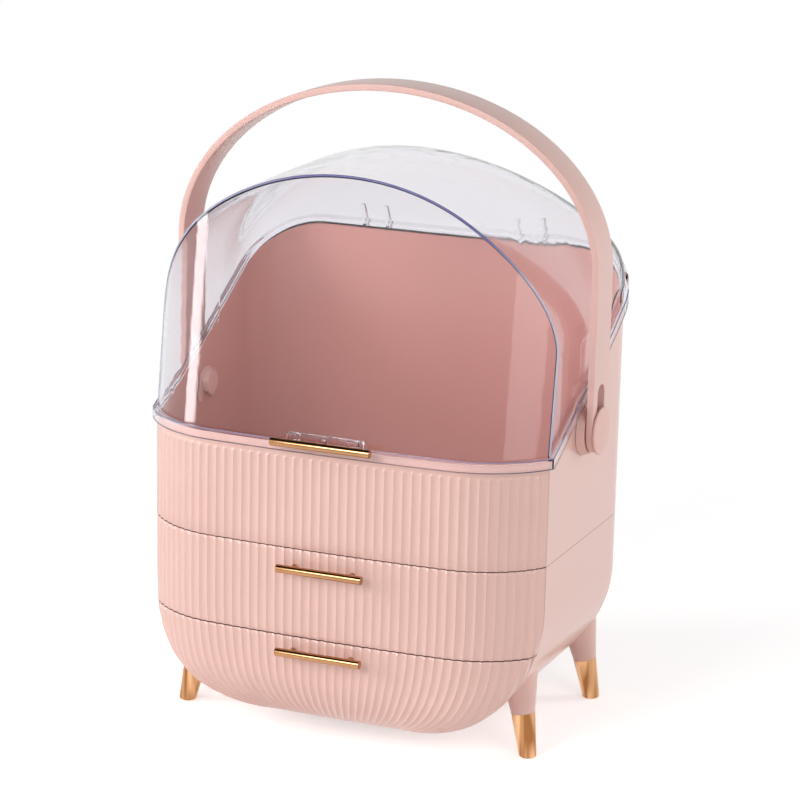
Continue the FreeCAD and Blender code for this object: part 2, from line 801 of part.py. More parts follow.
def make_drawer(name, skin, front_span, tray_span, pull_height):
    """One drawer: its band of the ribbed skin, a tray, a bar pull and the pull's screws."""
    band = block(name + "_front_band", (-FAR, -FAR, front_span[0]), (FAR, FAR, front_span[1]))
    strip = common(name + "_front_strip", skin, band)
    pads = pull_rods(name + "_pad", "Sizes.pull_post_radius + Sizes.pull_pad_wall",
                     PULL_SEAT + " + Sizes.pull_pad_depth", "Sizes.pull_pad_depth", pull_height)
    bores = pull_rods(name + "_bore", "Sizes.screw_radius + Sizes.screw_gap", BORE_START,
                      BORE_LENGTH, pull_height, Y_AXIS)
    padded = fuse(name + "_front_padded", [strip] + pads)
    finish(cut(name + "_front_bored", padded, fuse(name + "_front_bores", bores)), name + "_front")

    tray_end = "Sizes.tray_back"
    tub_space = block(name + "_tray_space", (-FAR, -FAR, tray_span[0]), (FAR, tray_end, tray_span[1]))
    outside = front_wall + seat / 2
    slack = size("tray_slack")
    tub = common(name + "_tray_block", case_form(name + "_tray_form", -outside, slack=slack),
                 tub_space)
    inside_space = block(name + "_tray_inside_space",
                         (-FAR, -FAR, tray_span[0] + " + Sizes.tray_wall"),
                         (FAR, tray_end + " - Sizes.tray_wall", FAR))
    inside = common(name + "_tray_inside",
                    case_form(name + "_tray_inside_form", -outside - size("tray_wall"),
                              slack=slack),
                    inside_space)
    hollow = cut(name + "_tray_hollow", tub, inside)
    tray_bores = pull_rods(name + "_tray_bore", "Sizes.screw_radius + Sizes.screw_gap", BORE_START,
                           BORE_LENGTH, pull_height, Y_AXIS)
    finish(cut(name + "_tray_bored", hollow, fuse(name + "_tray_bores", tray_bores)), name + "_tray")
    make_pull(name, "-Sizes.front_reach - Sizes.pull_standoff", pull_height, "Sizes.pull_length",
              PULL_SEAT)
    make_pull_screws(name, pull_height, outside + size("tray_wall") + seat)


def make_pull(name, bar_y, bar_z, length, seat_y):
    """A round bar on two posts with blind screw holes."""
    bar = rod(name + "_bar", "Sizes.pull_radius", length, ("-0.5 * " + length, bar_y, bar_z), X_AXIS)
    posts = pull_rods(name + "_post", "Sizes.pull_post_radius", seat_y,
                      "(%s) - (%s)" % (seat_y, bar_y), bar_z)
    holes = pull_rods(name + "_post_hole", "Sizes.screw_radius + Sizes.screw_hole_gap",
                      "(%s) + 1" % seat_y, "Sizes.screw_hole_depth", bar_z)
    whole = fuse(name + "_pull_whole", [bar] + posts)
    finish(cut(name + "_pull_bored", whole, fuse(name + "_pull_holes", holes)), name + "_pull")


def make_pull_screws(name, height, through):
    """Two screws from inside the tray's front wall into the posts of the pull."""
    face = "%g - Sizes.front_reach" % through
    shanks = pull_rods(name + "_screw_shank", "Sizes.screw_radius", face,
                       "%g + Sizes.screw_bite" % through, height)
    heads = pull_rods(name + "_screw_head", "Sizes.screw_head_radius",
                      face + " + Sizes.screw_head_height", "Sizes.screw_head_height", height)
    screws = [
        fuse("%s_screw_%s" % (name, side_name), pair)
        for (side_name, side), pair in zip(SIDES, zip(shanks, heads))
    ]
    finish(group(name + "_screw_group", screws), name + "_pull_screws")


# ---------------------------------------------------------------- lid

lid_wall = size("lid_wall")
lean = radians(size("lid_lean"))


def dome_stations():
    """Sections of the dome from front to back: place, half-width, spring height and top."""
    crown_y = size("crown_back")
    crown = size("arch_top") + size("crown_rise")
    spring = size("arch_spring")
    spring_climb = (rim_at(back) + 1.5 - spring) / (back - crown_y)
    ahead = front + crown_y
    stations = []
    # Four sections from a little ahead of the case up to the crown, then the rounded back.
    for step in (4, 3, 2, 1):
        y = crown_y - step * ahead / 3.5
        drop = size("crown_rise") * ((crown_y - y) / ahead) ** 2
        stations.append((y, half_width, spring, crown - drop))
    for degrees in (0, 16, 31, 45, 58, 70, 80, 86):
        angle = radians(degrees)
        y = crown_y + (back - crown_y) * sin(angle)
        top = rim_at(back) + (crown - rim_at(back)) * cos(angle)
        corner = size("rear_corner")
        past = max(0, y - (back - corner))
        width = half_width - corner + sqrt(corner ** 2 - past ** 2)
        stations.append((y, width, spring + spring_climb * (y - crown_y), top))
    return stations


def dome_loft(name, inset):
    """The dome's form, `inset` inside its outer face, as a loft of straight-sided arches."""
    sections = []
    for index, (y, width, spring, top) in enumerate(dome_stations()):
        width = width - inset
        base = split_high - inset
        rise = top - spring - inset
        y = y - inset * max(0, (y - size("crown_back")) / (back - size("crown_back")))
        arch = Part.ArcOfEllipse(Part.Ellipse(Vector(0, spring, 0), width, rise), 0, pi)
        curves = [arch, line((-width, spring), (-width, base)), line((-width, base), (width, base)),
                  line((width, base), (width, spring))]
        section = sketch("%s_section_%d" % (name, index), curves, "XZ")
        section.Placement.Base.y = y
        sections.append(section)
    loft = doc.addObject("Part::Loft", name)
    loft.Sections = sections
    loft.Solid = True
    return loft


def leaning_prism(name, inset):
    """Everything behind the bowed lid front, which leans back from the rim upwards."""
    profile = sketch(name + "_outline", open_backed_outline(-inset))
    profile.Placement.Base = Vector(0, -FAR * tan(lean), rim_height - FAR)
    return extrusion(name, profile, Vector(0, sin(lean), cos(lean)), str(2 * FAR))


def flange_ring(name, inner, low, high):
    """A band that follows the rim, between `inner` and the flange's outer edge."""
    outer = extrusion(name + "_outer", sketch(name + "_outer_plan", case_outline(size("flange_reach")),
                                              "XY", "Sizes.split_high"), Z_AXIS, str(FAR))
    hole = extrusion(name + "_hole", sketch(name + "_hole_plan", case_outline(inner), "XY",
                                            "Sizes.split_high - 1"), Z_AXIS, str(2 * FAR))
    ring = cut(name + "_ring", outer, hole)
    return common(name, ring, across(name + "_band", rim_band(low, high)))


def hinge_ear(name, x):
    """A lug that hangs from the dome's back, over the flange, down to the hinge pin."""
    radius = size("hinge_barrel_radius")
    y = back + size("hinge_axis_back")
    z = hinge_z
    rim = rim_at(back)
    top = rim + size("ear_climb")
    # The root lies inside the dome's rear wall, which leans forwards.
    root_y, tip_y, outer_y, root_z = back - 1.5, back - 3.2, back - 0.5, rim + 1
    outline = [
        line((root_y, root_z), (tip_y, top)),
        line((tip_y, top), (outer_y, top)),
        line((outer_y, top), (y + radius, rim)),
        line((y + radius, rim), (y + radius, z)),
        arc((y + radius, z), (y, z - radius), (y - radius, z)),
        line((y - radius, z), (y - radius, root_z)),
        line((y - radius, root_z), (root_y, root_z)),
    ]
    profile = sketch("ear_outline_" + name, outline, "YZ", "%g" % x)
    return extrusion("ear_" + name, profile, X_AXIS, "Sizes.ear_thickness")


def make_lid():
    thickness = size("flange_thickness")
    gap = size("lid_gap")
    outer = common("dome_outer", dome_loft("dome_outer_loft", 0), leaning_prism("dome_outer_front", 0))
    inner = common("dome_inner", dome_loft("dome_inner_loft", lid_wall),
                   leaning_prism("dome_inner_front", lid_wall))
    shell = common("dome_shell", cut("dome_hollow", outer, inner),
                   across("over_lid_edge", above_rim(gap)))
    ledge = flange_ring("flange_ledge", -lid_wall, gap, gap + thickness)
    skirt = flange_ring("flange_skirt", size("skirt_gap"), -size("skirt_depth"), gap + thickness)
    ears = []
    for name, side in SIDES:
        middle = side * size("hinge_offset")
        for hand, start in (("in", -size("ear_inside") - size("ear_thickness")),
                            ("out", size("ear_inside"))):
            ears.append(hinge_ear("%s_%s" % (name, hand), middle + start))
    whole = fuse("lid_whole", [shell, ledge, skirt] + ears)
    bores = [
        rod("ear_bore_" + name, "Sizes.hinge_pin_radius + Sizes.pin_gap", "4 * Sizes.ear_inside",
            ("%d * Sizes.hinge_offset - 2 * Sizes.ear_inside" % side,
             "Sizes.back_reach + Sizes.hinge_axis_back", "%g" % hinge_z), X_AXIS)
        for name, side in SIDES
    ]
    finish(cut("lid_bored", whole, fuse("ear_bores", bores)), "lid_dome")


def make_hinge_pin(name, side):
    length = 2 * (size("ear_inside") + size("ear_thickness"))
    finish(rod("pin_" + name, "Sizes.hinge_pin_radius", "%g" % length,
               ("%d * Sizes.hinge_offset - %g" % (side, length / 2),
                "Sizes.back_reach + Sizes.hinge_axis_back", "%g" % hinge_z), X_AXIS),
           "hinge_pin_" + name)


def make_lid_pull():
    """A clear bracket on the lid's front, over the flange, with the bar screwed to its lugs."""
    low = rim_height + size("lid_gap") + size("flange_thickness") + size("fit")
    top = low + size("bracket_height")
    edge = front + size("flange_reach")
    lug_face = edge + size("bracket_lug_reach")
    lug_half, catch_half = 4, 2
    rail = block("bracket_rail", ("-Sizes.bracket_half_length", -edge - 0.3, low),
                 ("Sizes.bracket_half_length", -front + 6, top))
    lugs = [
        block("bracket_lug_" + name,
              ("%d * Sizes.pull_post_offset - %g" % (side, lug_half), -lug_face,
               "Sizes.lid_pull_height - Sizes.pull_post_radius - 1"),
              ("%d * Sizes.pull_post_offset + %g" % (side, lug_half), -edge - 0.3, top))
        for name, side in SIDES
    ]
    catch = block("bracket_catch", (-catch_half, -lug_face, low), (catch_half, -edge, top - 1))
    whole = fuse("bracket_whole", [rail, catch] + lugs)
    bracket = cut("bracket_fitted", whole, leaning_prism("bracket_seat", -0.05))
    holes = pull_rods("bracket_hole", "Sizes.screw_radius + Sizes.screw_gap", "-Sizes.front_reach",
                      "12", "Sizes.lid_pull_height")
    finish(cut("bracket_bored", bracket, fuse("bracket_holes", holes)), "lid_pull_bracket")
    make_pull("lid", "-Sizes.front_reach - Sizes.lid_pull_standoff", "Sizes.lid_pull_height",
              "Sizes.lid_pull_length", "-%g" % lug_face)


# ---------------------------------------------------------------- handle and pivots

pivot_y = size("pivot_back")
pivot_z = size("pivot_height")
strap_half = size("strap_width") / 2


def arch_outline(inset):
    """Front view of the strap's face: straight legs under half an ellipse, closed at the bottom."""
    width = size("handle_half_width") - inset
    rise = size("handle_top") - size("handle_spring") - inset
    spring = size("handle_spring")
    base = pivot_z - strap_half - inset
    arch = Part.ArcOfEllipse(Part.Ellipse(Vector(0, spring, 0), width, rise), 0, pi)
    return [arch, line((-width, spring), (-width, base)), line((-width, base), (width, base)),
            line((width, base), (width, spring))]


def strap_side_outline():
    """Side view of the strap: a long band with a round lower end about the pivot."""
    left, right = pivot_y - strap_half, pivot_y + strap_half
    return [
        line((left, pivot_z), (left, FAR + pivot_z)),
        line((left, FAR + pivot_z), (right, FAR + pivot_z)),
        line((right, FAR + pivot_z), (right, pivot_z)),
        arc((right, pivot_z), (pivot_y, pivot_z - strap_half), (left, pivot_z)),
    ]


def keyhole_outline():
    """A round hole about the pivot that runs up into a narrower slot."""
    half = size("slot_half_width")
    radius = size("keyhole_radius")
    join = sqrt(radius ** 2 - half ** 2)
    slot_top = pivot_z + size("slot_rise") - half
    return [
        arc((pivot_y - half, pivot_z + join), (pivot_y, pivot_z - radius),
            (pivot_y + half, pivot_z + join)),
        line((pivot_y + half, pivot_z + join), (pivot_y + half, slot_top)),
        arc((pivot_y + half, slot_top), (pivot_y, slot_top + half), (pivot_y - half, slot_top)),
        line((pivot_y - half, slot_top), (pivot_y - half, pivot_z + join)),
    ]


def strap_edges(edge):
    """Whether an edge runs along the strap, as against across its width."""
    box = edge.BoundBox
    return box.YLength < 0.01 or min(box.YLength, box.ZLength) > 1


def make_handle():
    faces = []
    for name, inset in (("outer", 0), ("inner", size("strap_thickness"))):
        profile = sketch("arch_" + name, arch_outline(inset), "XZ")
        profile.Placement.Base.y = pivot_y - strap_half
        faces.append(extrusion("arch_solid_" + name, profile, Y_AXIS, "Sizes.strap_width"))
    band = cut("arch_band", *faces)
    strap = common("strap_ends", band, across("strap_side", strap_side_outline()))
    rounded = rounded_edges("strap_rounded", strap, strap_edges, size("strap_edge"))
    finish(cut("strap_cut", rounded, across("keyhole", keyhole_outline())), "handle_strap")


def body_sketch(body, name, role, curves, offset=None):
    """A sketch attached to one of the body's own origin planes."""
    plane = next(item for item in body.Origin.OriginFeatures if item.Role == role)
    drawn = body.newObject("Sketcher::SketchObject", name)
    drawn.AttachmentSupport = [(plane, "")]
    drawn.MapMode = "FlatFace"
    if offset is not None:
        drawn.setExpression("AttachmentOffset.Base.z", offset)
    drawn.addGeometry(curves, False)
    return drawn


def shank_outline():
    radius = size("keyhole_radius") - size("shank_gap")
    half = size("slot_half_width") - size("shank_gap")
    reach = sqrt(radius ** 2 - half ** 2)
    return [
        arc((reach, -half), (radius, 0), (reach, half)),
        line((reach, half), (-reach, half)),
        arc((-reach, half), (-radius, 0), (-reach, -half)),
        line((-reach, -half), (reach, -half)),
    ]


def button_head_outline():
    """Half section of a button's head: flat underneath, round at the edge and domed outside."""
    low = size("button_gap")
    high = low + size("button_thickness")
    radius = size("button_radius")
    edge = size("button_thickness") / 2
    top = high + size("button_dome")
    flat = radius - edge
    chord_middle = flat / 2
    dome_radius = (flat ** 2 + size("button_dome") ** 2) / (2 * size("button_dome"))
    middle_height = top - dome_radius + sqrt(dome_radius ** 2 - chord_middle ** 2)
    return [
        line((0, low), (flat, low)),
        arc((flat, low), (radius, low + edge), (flat, high)),
        arc((flat, high), (chord_middle, middle_height), (0, top)),
        line((0, top), (0, low)),
    ]


def make_button(name, side):
    """A low domed head outside the strap, a flat-sided shank in the keyhole and a pivot pin."""
    body = doc.addObject("PartDesign::Body", "button_body_" + name)
    profile = body_sketch(body, "head_outline_" + name, "XZ_Plane", button_head_outline())
    head = body.newObject("PartDesign::Revolution", "head_" + name)
    head.Profile = profile
    head.ReferenceAxis = (profile, ["V_Axis"])
    steps = (
        ("shank", shank_outline(), "Sizes.button_gap",
         "Sizes.strap_thickness + Sizes.button_gap + Sizes.sunk"),
        ("pin", [circle((0, 0), size("pivot_pin_radius"))], "-Sizes.strap_thickness - Sizes.sunk",
         "Sizes.handle_gap + Sizes.case_wall + Sizes.bush_inside - Sizes.sunk"),
    )
    for step, curves, start, length in steps:
        profile = body_sketch(body, "%s_outline_%s" % (step, name), "XY_Plane", curves, start)
        pad = body.newObject("PartDesign::Pad", "%s_%s" % (step, name))
        pad.Profile = profile
        pad.Reversed = True
        pad.setExpression("Length", length)
    body.Placement = Placement(Vector(side * size("handle_half_width"), pivot_y, pivot_z),
                               Rotation(Z_AXIS, X_AXIS * side))
    finish(body, "pivot_button_" + name)


def make_bush(name, side):
    """A flanged sleeve through the side wall that the button's pin turns in."""
    body = doc.addObject("PartDesign::Body", "bush_body_" + name)
    bore = size("pivot_pin_radius") + size("turn_gap")
    collar = size("bush_collar_radius")
    sleeve = size("bush_sleeve_radius")
    collar_end = size("handle_gap") - size("bush_end_gap")
    groove_top = -wall - seat
    groove_low = groove_top - size("clip_thickness") - 2 * size("fit")
    groove = size("groove_radius")
    outline = polygon([
        (bore, -wall - size("bush_inside")), (sleeve, -wall - size("bush_inside")),
        (sleeve, groove_low), (groove, groove_low), (groove, groove_top),
        (sleeve, groove_top), (sleeve, seat), (collar + size("bush_collar_flare"), seat),
        (collar, collar_end), (bore, collar_end),
    ])
    profile = body_sketch(body, "bush_outline_" + name, "XZ_Plane", outline)
    turned = body.newObject("PartDesign::Revolution", "bush_turned_" + name)
    turned.Profile = profile
    turned.ReferenceAxis = (profile, ["V_Axis"])
    body.Placement = Placement(Vector(side * half_width, pivot_y, pivot_z),
                               Rotation(Z_AXIS, X_AXIS * side))
    finish(body, "pivot_bush_" + name)


def make_clip(name, side):
    """A round-topped plate with an open slot that snaps into the bush's groove."""
    half = size("clip_half_width")
    slot = size("groove_radius") + size("fit")
    base = pivot_z - half - 1.5
    left, right = pivot_y - half, pivot_y + half
    outline = [
        arc((right, pivot_z), (pivot_y, pivot_z + half), (left, pivot_z)),
        line((left, pivot_z), (left, base)),
        line((left, base), (pivot_y - slot, base)),
        line((pivot_y - slot, base), (pivot_y - slot, pivot_z)),
        arc((pivot_y - slot, pivot_z), (pivot_y, pivot_z + slot), (pivot_y + slot, pivot_z)),
        line((pivot_y + slot, pivot_z), (pivot_y + slot, base)),
        line((pivot_y + slot, base), (right, base)),
        line((right, base), (right, pivot_z)),
    ]
    outer = side * (half_width - wall - seat - size("fit"))
    start = min(outer, outer - side * size("clip_thickness"))
    profile = sketch("clip_outline_" + name, outline, "YZ", "%g" % start)
    finish(extrusion("clip_" + name, profile, X_AXIS, "Sizes.clip_thickness"), "pivot_clip_" + name)


# ---------------------------------------------------------------- assembly

make_upper_case()
make_lower_housing()
make_drawer_shelf()
make_case_screws()
for leg_name, leg_side, leg_end in LEGS:
    make_leg_tip(leg_name, leg_side, leg_end)
skin = ribbed_skin()
make_drawer("upper_drawer", skin,
            ("Sizes.split_low + 0.5 * Sizes.seam", "Sizes.split_high - 0.5 * Sizes.seam"),
            (SHELF_TOP + " + Sizes.seat_gap", "Sizes.split_high - 4"), "Sizes.upper_pull_height")
make_drawer("lower_drawer", skin, ("0", "Sizes.split_low - 0.5 * Sizes.seam"),
            ("0", LEDGE_TOP + " - Sizes.ledge_thickness - 0.6"), "Sizes.lower_pull_height")
make_lid()
make_lid_pull()
make_handle()
for side_name, side_sign in SIDES:
    make_hinge_pin(side_name, side_sign)
    make_button(side_name, side_sign)
    make_bush(side_name, side_sign)
    make_clip(side_name, side_sign)
doc.recompute()

for item in doc.Objects:
    if "Invalid" in item.State or "Error" in item.State:
        raise RuntimeError("%s failed: %s" % (item.Label, item.State))
for solid in SUB_PARTS:
    if solid.Shape.isNull() or not solid.Shape.isValid():
        raise RuntimeError("%s has no valid shape" % solid.Label)

os.makedirs("parts", exist_ok=True)
for solid in SUB_PARTS:
    solid.Shape.exportStep("parts/%s.step" % solid.Label)
    print(solid.Label, len(solid.Shape.Solids), round(solid.Shape.Volume))
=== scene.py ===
import json
import math

import bmesh
import bpy
import numpy as np
from mathutils import Matrix, Vector


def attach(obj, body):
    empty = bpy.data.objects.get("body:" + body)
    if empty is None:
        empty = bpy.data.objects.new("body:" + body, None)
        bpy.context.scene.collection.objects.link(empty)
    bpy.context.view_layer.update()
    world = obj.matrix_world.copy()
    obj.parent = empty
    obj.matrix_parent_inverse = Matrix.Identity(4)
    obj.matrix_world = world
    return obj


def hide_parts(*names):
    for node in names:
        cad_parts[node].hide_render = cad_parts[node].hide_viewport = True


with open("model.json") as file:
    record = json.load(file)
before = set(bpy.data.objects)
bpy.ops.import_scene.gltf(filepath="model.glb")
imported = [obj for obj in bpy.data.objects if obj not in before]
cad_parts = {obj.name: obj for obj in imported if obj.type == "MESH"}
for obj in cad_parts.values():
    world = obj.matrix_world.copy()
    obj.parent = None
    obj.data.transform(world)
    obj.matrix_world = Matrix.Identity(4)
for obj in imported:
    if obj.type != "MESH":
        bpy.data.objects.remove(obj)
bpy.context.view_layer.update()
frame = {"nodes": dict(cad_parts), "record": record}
nodes = frame["nodes"]


# ---------------------------------------------------------------- the case's sizes, in metres

HALF_WIDTH = 0.135
SPLIT_HIGH = 0.133  # where the upper case stands on the lower housing
# Level faces below the first height are the compartment's floor, and above the second its rim.
COMPARTMENT_FLOOR_TOP, COMPARTMENT_RIM_LOW = 0.170, 0.190

# The front's plan: a wide bowed arc, then a tight shoulder on each side that ends at the corner.
FRONT_REACH = 0.0995
FRONT_RADIUS = 1.340
SHOULDER_RADIUS = 0.0684
SHOULDER_X, SHOULDER_Y = 0.07669, -0.028785
SHOULDER_START = math.radians(3.4575)
CORNER_ANGLE = math.asin((HALF_WIDTH - SHOULDER_X) / SHOULDER_RADIUS)
HALF_ARC = FRONT_RADIUS * SHOULDER_START + SHOULDER_RADIUS * (CORNER_ANGLE - SHOULDER_START)
SEAM_Y, CORNER_Y = -0.0647, -0.06454
FRONT_WALL = 0.0025

# Below the belly the sides turn in, and the front rounds under like a bowl.
BELLY_RADIUS, BELLY_BOTTOM = 0.090, 0.012
BELLY_X, BELLY_Z = HALF_WIDTH - BELLY_RADIUS, BELLY_BOTTOM + BELLY_RADIUS
BOWL_RADIUS, CORNER_RADIUS = 0.038, 0.0015

# The rim is level in front and climbs along an arc on the sides.
RIM_HEIGHT = 0.2012
RIM_RADIUS, RIM_CENTRE_Y, RIM_CENTRE_Z = 1.3640, -0.6753, 1.4208

# Crested ribs with hollow sides: each flute between two crests is an arc.
RIB_PITCH, RIB_HEIGHT, RIB_COUNT = 0.0061, 0.0009, 46
FLUTE_RADIUS = ((RIB_PITCH / 2) ** 2 + RIB_HEIGHT ** 2) / (2 * RIB_HEIGHT)
RIB_FADE_START, RIB_END = 0.1914, 0.1934
BOWL_FADE = (0.0128, 0.024)  # heights between which the ribs grow out of the bowl
CREST_HALF = 0.00012
FLUTE_STATIONS = (0.0003, 0.0006, 0.0011, 0.0017, 0.0024)  # measured from a rib's middle

# The three fronts' edges beside the two split lines, with a closer row that rounds each edge.
LOWER_FRONT_TOP = 0.0747
UPPER_FRONT_FOOT, UPPER_FRONT_TOP = 0.0754, 0.1327
CASE_FRONT_FOOT = 0.1333
EDGE_ROW = 0.0002
EDGE_FALL = 0.00022
NEAR_LEVEL = 0.0003
STRAIGHT_FRONT_Z = 0.06  # the bowl's rounding ends below this

# How far the CAD's ribbed faces reach from the smooth front, to tell them from other faces.
OLD_RIB_REACH = 0.0012
OLD_RIB_DEPTH = 0.0011
OLD_SIDE_DEPTH = 0.0008
OLD_EDGE_DEPTH = FRONT_WALL + 0.001
OLD_SEAM_GAP = 0.00005

WELD = 2e-6  # closer points of a CAD mesh are the same corner


# ---------------------------------------------------------------- colours and node helpers

def srgb(red, green, blue):
    """A colour given in 0 to 255 display values, as linear RGBA."""
    def linear(value):
        value /= 255
        return value / 12.92 if value <= 0.04045 else ((value + 0.055) / 1.055) ** 2.4
    return (linear(red), linear(green), linear(blue), 1)


def new_material(name):
    """A material with an empty node tree."""
    material = bpy.data.materials.new(name)
    material.use_nodes = True
    tree = material.node_tree
    tree.nodes.clear()
    return material, tree


def node(tree, kind, inputs=(), **settings):
    """A shader node whose inputs are linked from sockets or set to values."""
    made = tree.nodes.new(kind)
    for key, value in settings.items():
        setattr(made, key, value)
    for key, value in dict(inputs).items():
        if isinstance(value, bpy.types.NodeSocket):
            tree.links.new(value, made.inputs[key])
        else:
            made.inputs[key].default_value = value
    return made


def ramp(tree, factor, stops):
    """The colour output of a ramp through the given stops."""
    made = node(tree, "ShaderNodeValToRGB", {"Fac": factor})
    points = made.color_ramp.elements
    for index, (place, colour) in enumerate(stops):
        point = points[index] if index < 2 else points.new(place)
        point.position = place
        point.color = colour
    return made.outputs["Color"]


def grey(value):
    """A value as a colour, for ramps that drive a plain number."""
    return (value, value, value, 1)


def compartment_shade_mask(tree, coords):
    """1 on the walls that face the middle of the case and on the upper compartment's floor, where
    painted shade darkens the inside.
    """
    in_plan = node(tree, "ShaderNodeVectorMath", {0: coords.outputs["Object"], 1: (1, 1, 0)},
                   operation="MULTIPLY")
    inward = node(tree, "ShaderNodeVectorMath",
                  {0: in_plan.outputs[0], 1: coords.outputs["Normal"]}, operation="DOT_PRODUCT")
    walls = node(tree, "ShaderNodeMapRange",
                 {"Value": inward.outputs["Value"], "From Min": -0.004, "From Max": -0.012})
    height = node(tree, "ShaderNodeSeparateXYZ", {"Vector": coords.outputs["Object"]})
    facing = node(tree, "ShaderNodeSeparateXYZ", {"Vector": coords.outputs["Normal"]})
    upward = node(tree, "ShaderNodeMapRange",
                  {"Value": facing.outputs["Z"], "From Min": 0.5, "From Max": 0.8})
    low = node(tree, "ShaderNodeMapRange",
               {"Value": height.outputs["Z"], "From Min": COMPARTMENT_RIM_LOW,
                "From Max": COMPARTMENT_FLOOR_TOP})
    bottom = node(tree, "ShaderNodeMath",
                  {0: upward.outputs["Result"], 1: low.outputs["Result"]}, operation="MULTIPLY")
    return node(tree, "ShaderNodeMath", {0: walls.outputs["Result"], 1: bottom.outputs[0]},
                operation="MAXIMUM").outputs[0]


def seam_shadow_mask(tree, place):
    """1 on the thin line where the upper case stands on the lower housing, where painted shadow
    darkens the joint.
    """
    height = node(tree, "ShaderNodeSeparateXYZ", {"Vector": place}).outputs["Z"]
    above = node(tree, "ShaderNodeMath", {0: height, 1: SPLIT_HIGH}, operation="SUBTRACT")
    away = node(tree, "ShaderNodeMath", {0: above.outputs[0]}, operation="ABSOLUTE")
    return node(tree, "ShaderNodeMapRange",
                {"Value": away.outputs[0], "From Min": 0.0004, "From Max": 0.0002}).outputs["Result"]


def moulded(name, light, dark, roughness, coat=0.0, grain=0.00003, grain_scale=900, cloud_scale=14,
            inside=None, seam=None):
    """Moulded plastic: cloudy colour, fine grain, slightly uneven gloss; if asked, painted shade
    inside the compartment and a painted shadow line at the split.
    """
    material, tree = new_material(name)
    coords = node(tree, "ShaderNodeTexCoord")
    place = coords.outputs["Object"]
    clouds = node(tree, "ShaderNodeTexNoise",
                  {"Vector": place, "Scale": cloud_scale, "Detail": 3.0, "Roughness": 0.55})
    fine = node(tree, "ShaderNodeTexNoise",
                {"Vector": place, "Scale": grain_scale, "Detail": 2.0, "Roughness": 0.6})
    colour = ramp(tree, clouds.outputs["Fac"], ((0.3, dark), (0.7, light)))
    # Painted shade: the compartment's inner walls and floor get a deeper colour for the light that
    # does not reach them.
    if inside:
        colour = node(tree, "ShaderNodeMix",
                      {"Factor": compartment_shade_mask(tree, coords), "A": colour, "B": inside},
                      data_type="RGBA").outputs["Result"]
    # Painted shadow: a darker line along the split between the upper case and the lower housing.
    if seam:
        colour = node(tree, "ShaderNodeMix",
                      {"Factor": seam_shadow_mask(tree, place), "A": colour, "B": seam},
                      data_type="RGBA").outputs["Result"]
    low, high = roughness
    gloss = ramp(tree, clouds.outputs["Fac"], ((0.25, grey(low)), (0.75, grey(high))))
    bump = node(tree, "ShaderNodeBump",
                {"Height": fine.outputs["Fac"], "Strength": 0.5, "Distance": grain})
    shader = node(tree, "ShaderNodeBsdfPrincipled",
                  {"Base Color": colour, "Roughness": gloss, "Normal": bump.outputs["Normal"],
                   "Coat Weight": coat, "Coat Roughness": 0.12})
    node(tree, "ShaderNodeOutputMaterial", {"Surface": shader.outputs["BSDF"]})
    return material


def metal(name, light, dark, roughness, streak_scale=(40, 900, 900), cloud_scale=(60, 60, 60)):
    """Polished plated metal with faint turning marks, cloudy in colour or, if the clouds are
    stretched, streaky in colour as painted reflection.
    """
    material, tree = new_material(name)
    place = node(tree, "ShaderNodeTexCoord").outputs["Object"]
    stretched = node(tree, "ShaderNodeMapping", {"Vector": place, "Scale": streak_scale})
    marks = node(tree, "ShaderNodeTexNoise",
                 {"Vector": stretched.outputs["Vector"], "Scale": 1.0, "Detail": 3.0})
    patches = node(tree, "ShaderNodeMapping", {"Vector": place, "Scale": cloud_scale})
    clouds = node(tree, "ShaderNodeTexNoise",
                  {"Vector": patches.outputs["Vector"], "Scale": 1.0, "Detail": 1.0})
    colour = ramp(tree, clouds.outputs["Fac"], ((0.36, dark), (0.64, light)))
    low, high = roughness
    gloss = ramp(tree, marks.outputs["Fac"], ((0.3, grey(low)), (0.7, grey(high))))
    bump = node(tree, "ShaderNodeBump",
                {"Height": marks.outputs["Fac"], "Strength": 0.25, "Distance": 0.00002})
    shader = node(tree, "ShaderNodeBsdfPrincipled",
                  {"Base Color": colour, "Metallic": 1.0, "Roughness": gloss,
                   "Normal": bump.outputs["Normal"]})
    node(tree, "ShaderNodeOutputMaterial", {"Surface": shader.outputs["BSDF"]})
    return material


def clear_plastic(name, tint, shade):
    """Clear moulded plastic; lamps shine through it, faintly dimmed."""
    material, tree = new_material(name)
    place = node(tree, "ShaderNodeTexCoord").outputs["Object"]
    clouds = node(tree, "ShaderNodeTexNoise", {"Vector": place, "Scale": 9.0, "Detail": 2.0})
    gloss = ramp(tree, clouds.outputs["Fac"], ((0.3, grey(0.02)), (0.75, grey(0.06))))
    bump = node(tree, "ShaderNodeBump",
                {"Height": clouds.outputs["Fac"], "Strength": 0.15, "Distance": 0.0006})
    glass = node(tree, "ShaderNodeBsdfPrincipled",
                 {"Base Color": tint, "Roughness": gloss, "IOR": 1.40,
                  "Transmission Weight": 1.0, "Normal": bump.outputs["Normal"]})
    through = node(tree, "ShaderNodeBsdfTransparent", {"Color": shade})
    path = node(tree, "ShaderNodeLightPath")
    mixed = node(tree, "ShaderNodeMixShader",
                 {0: path.outputs["Is Shadow Ray"], 1: glass.outputs["BSDF"],
                  2: through.outputs["BSDF"]})
    depth = node(tree, "ShaderNodeVolumeAbsorption",
                 {"Color": (0.62, 0.62, 0.93, 1), "Density": 14.0})
    node(tree, "ShaderNodeOutputMaterial",
         {"Surface": mixed.outputs["Shader"], "Volume": depth.outputs["Volume"]})
    return material


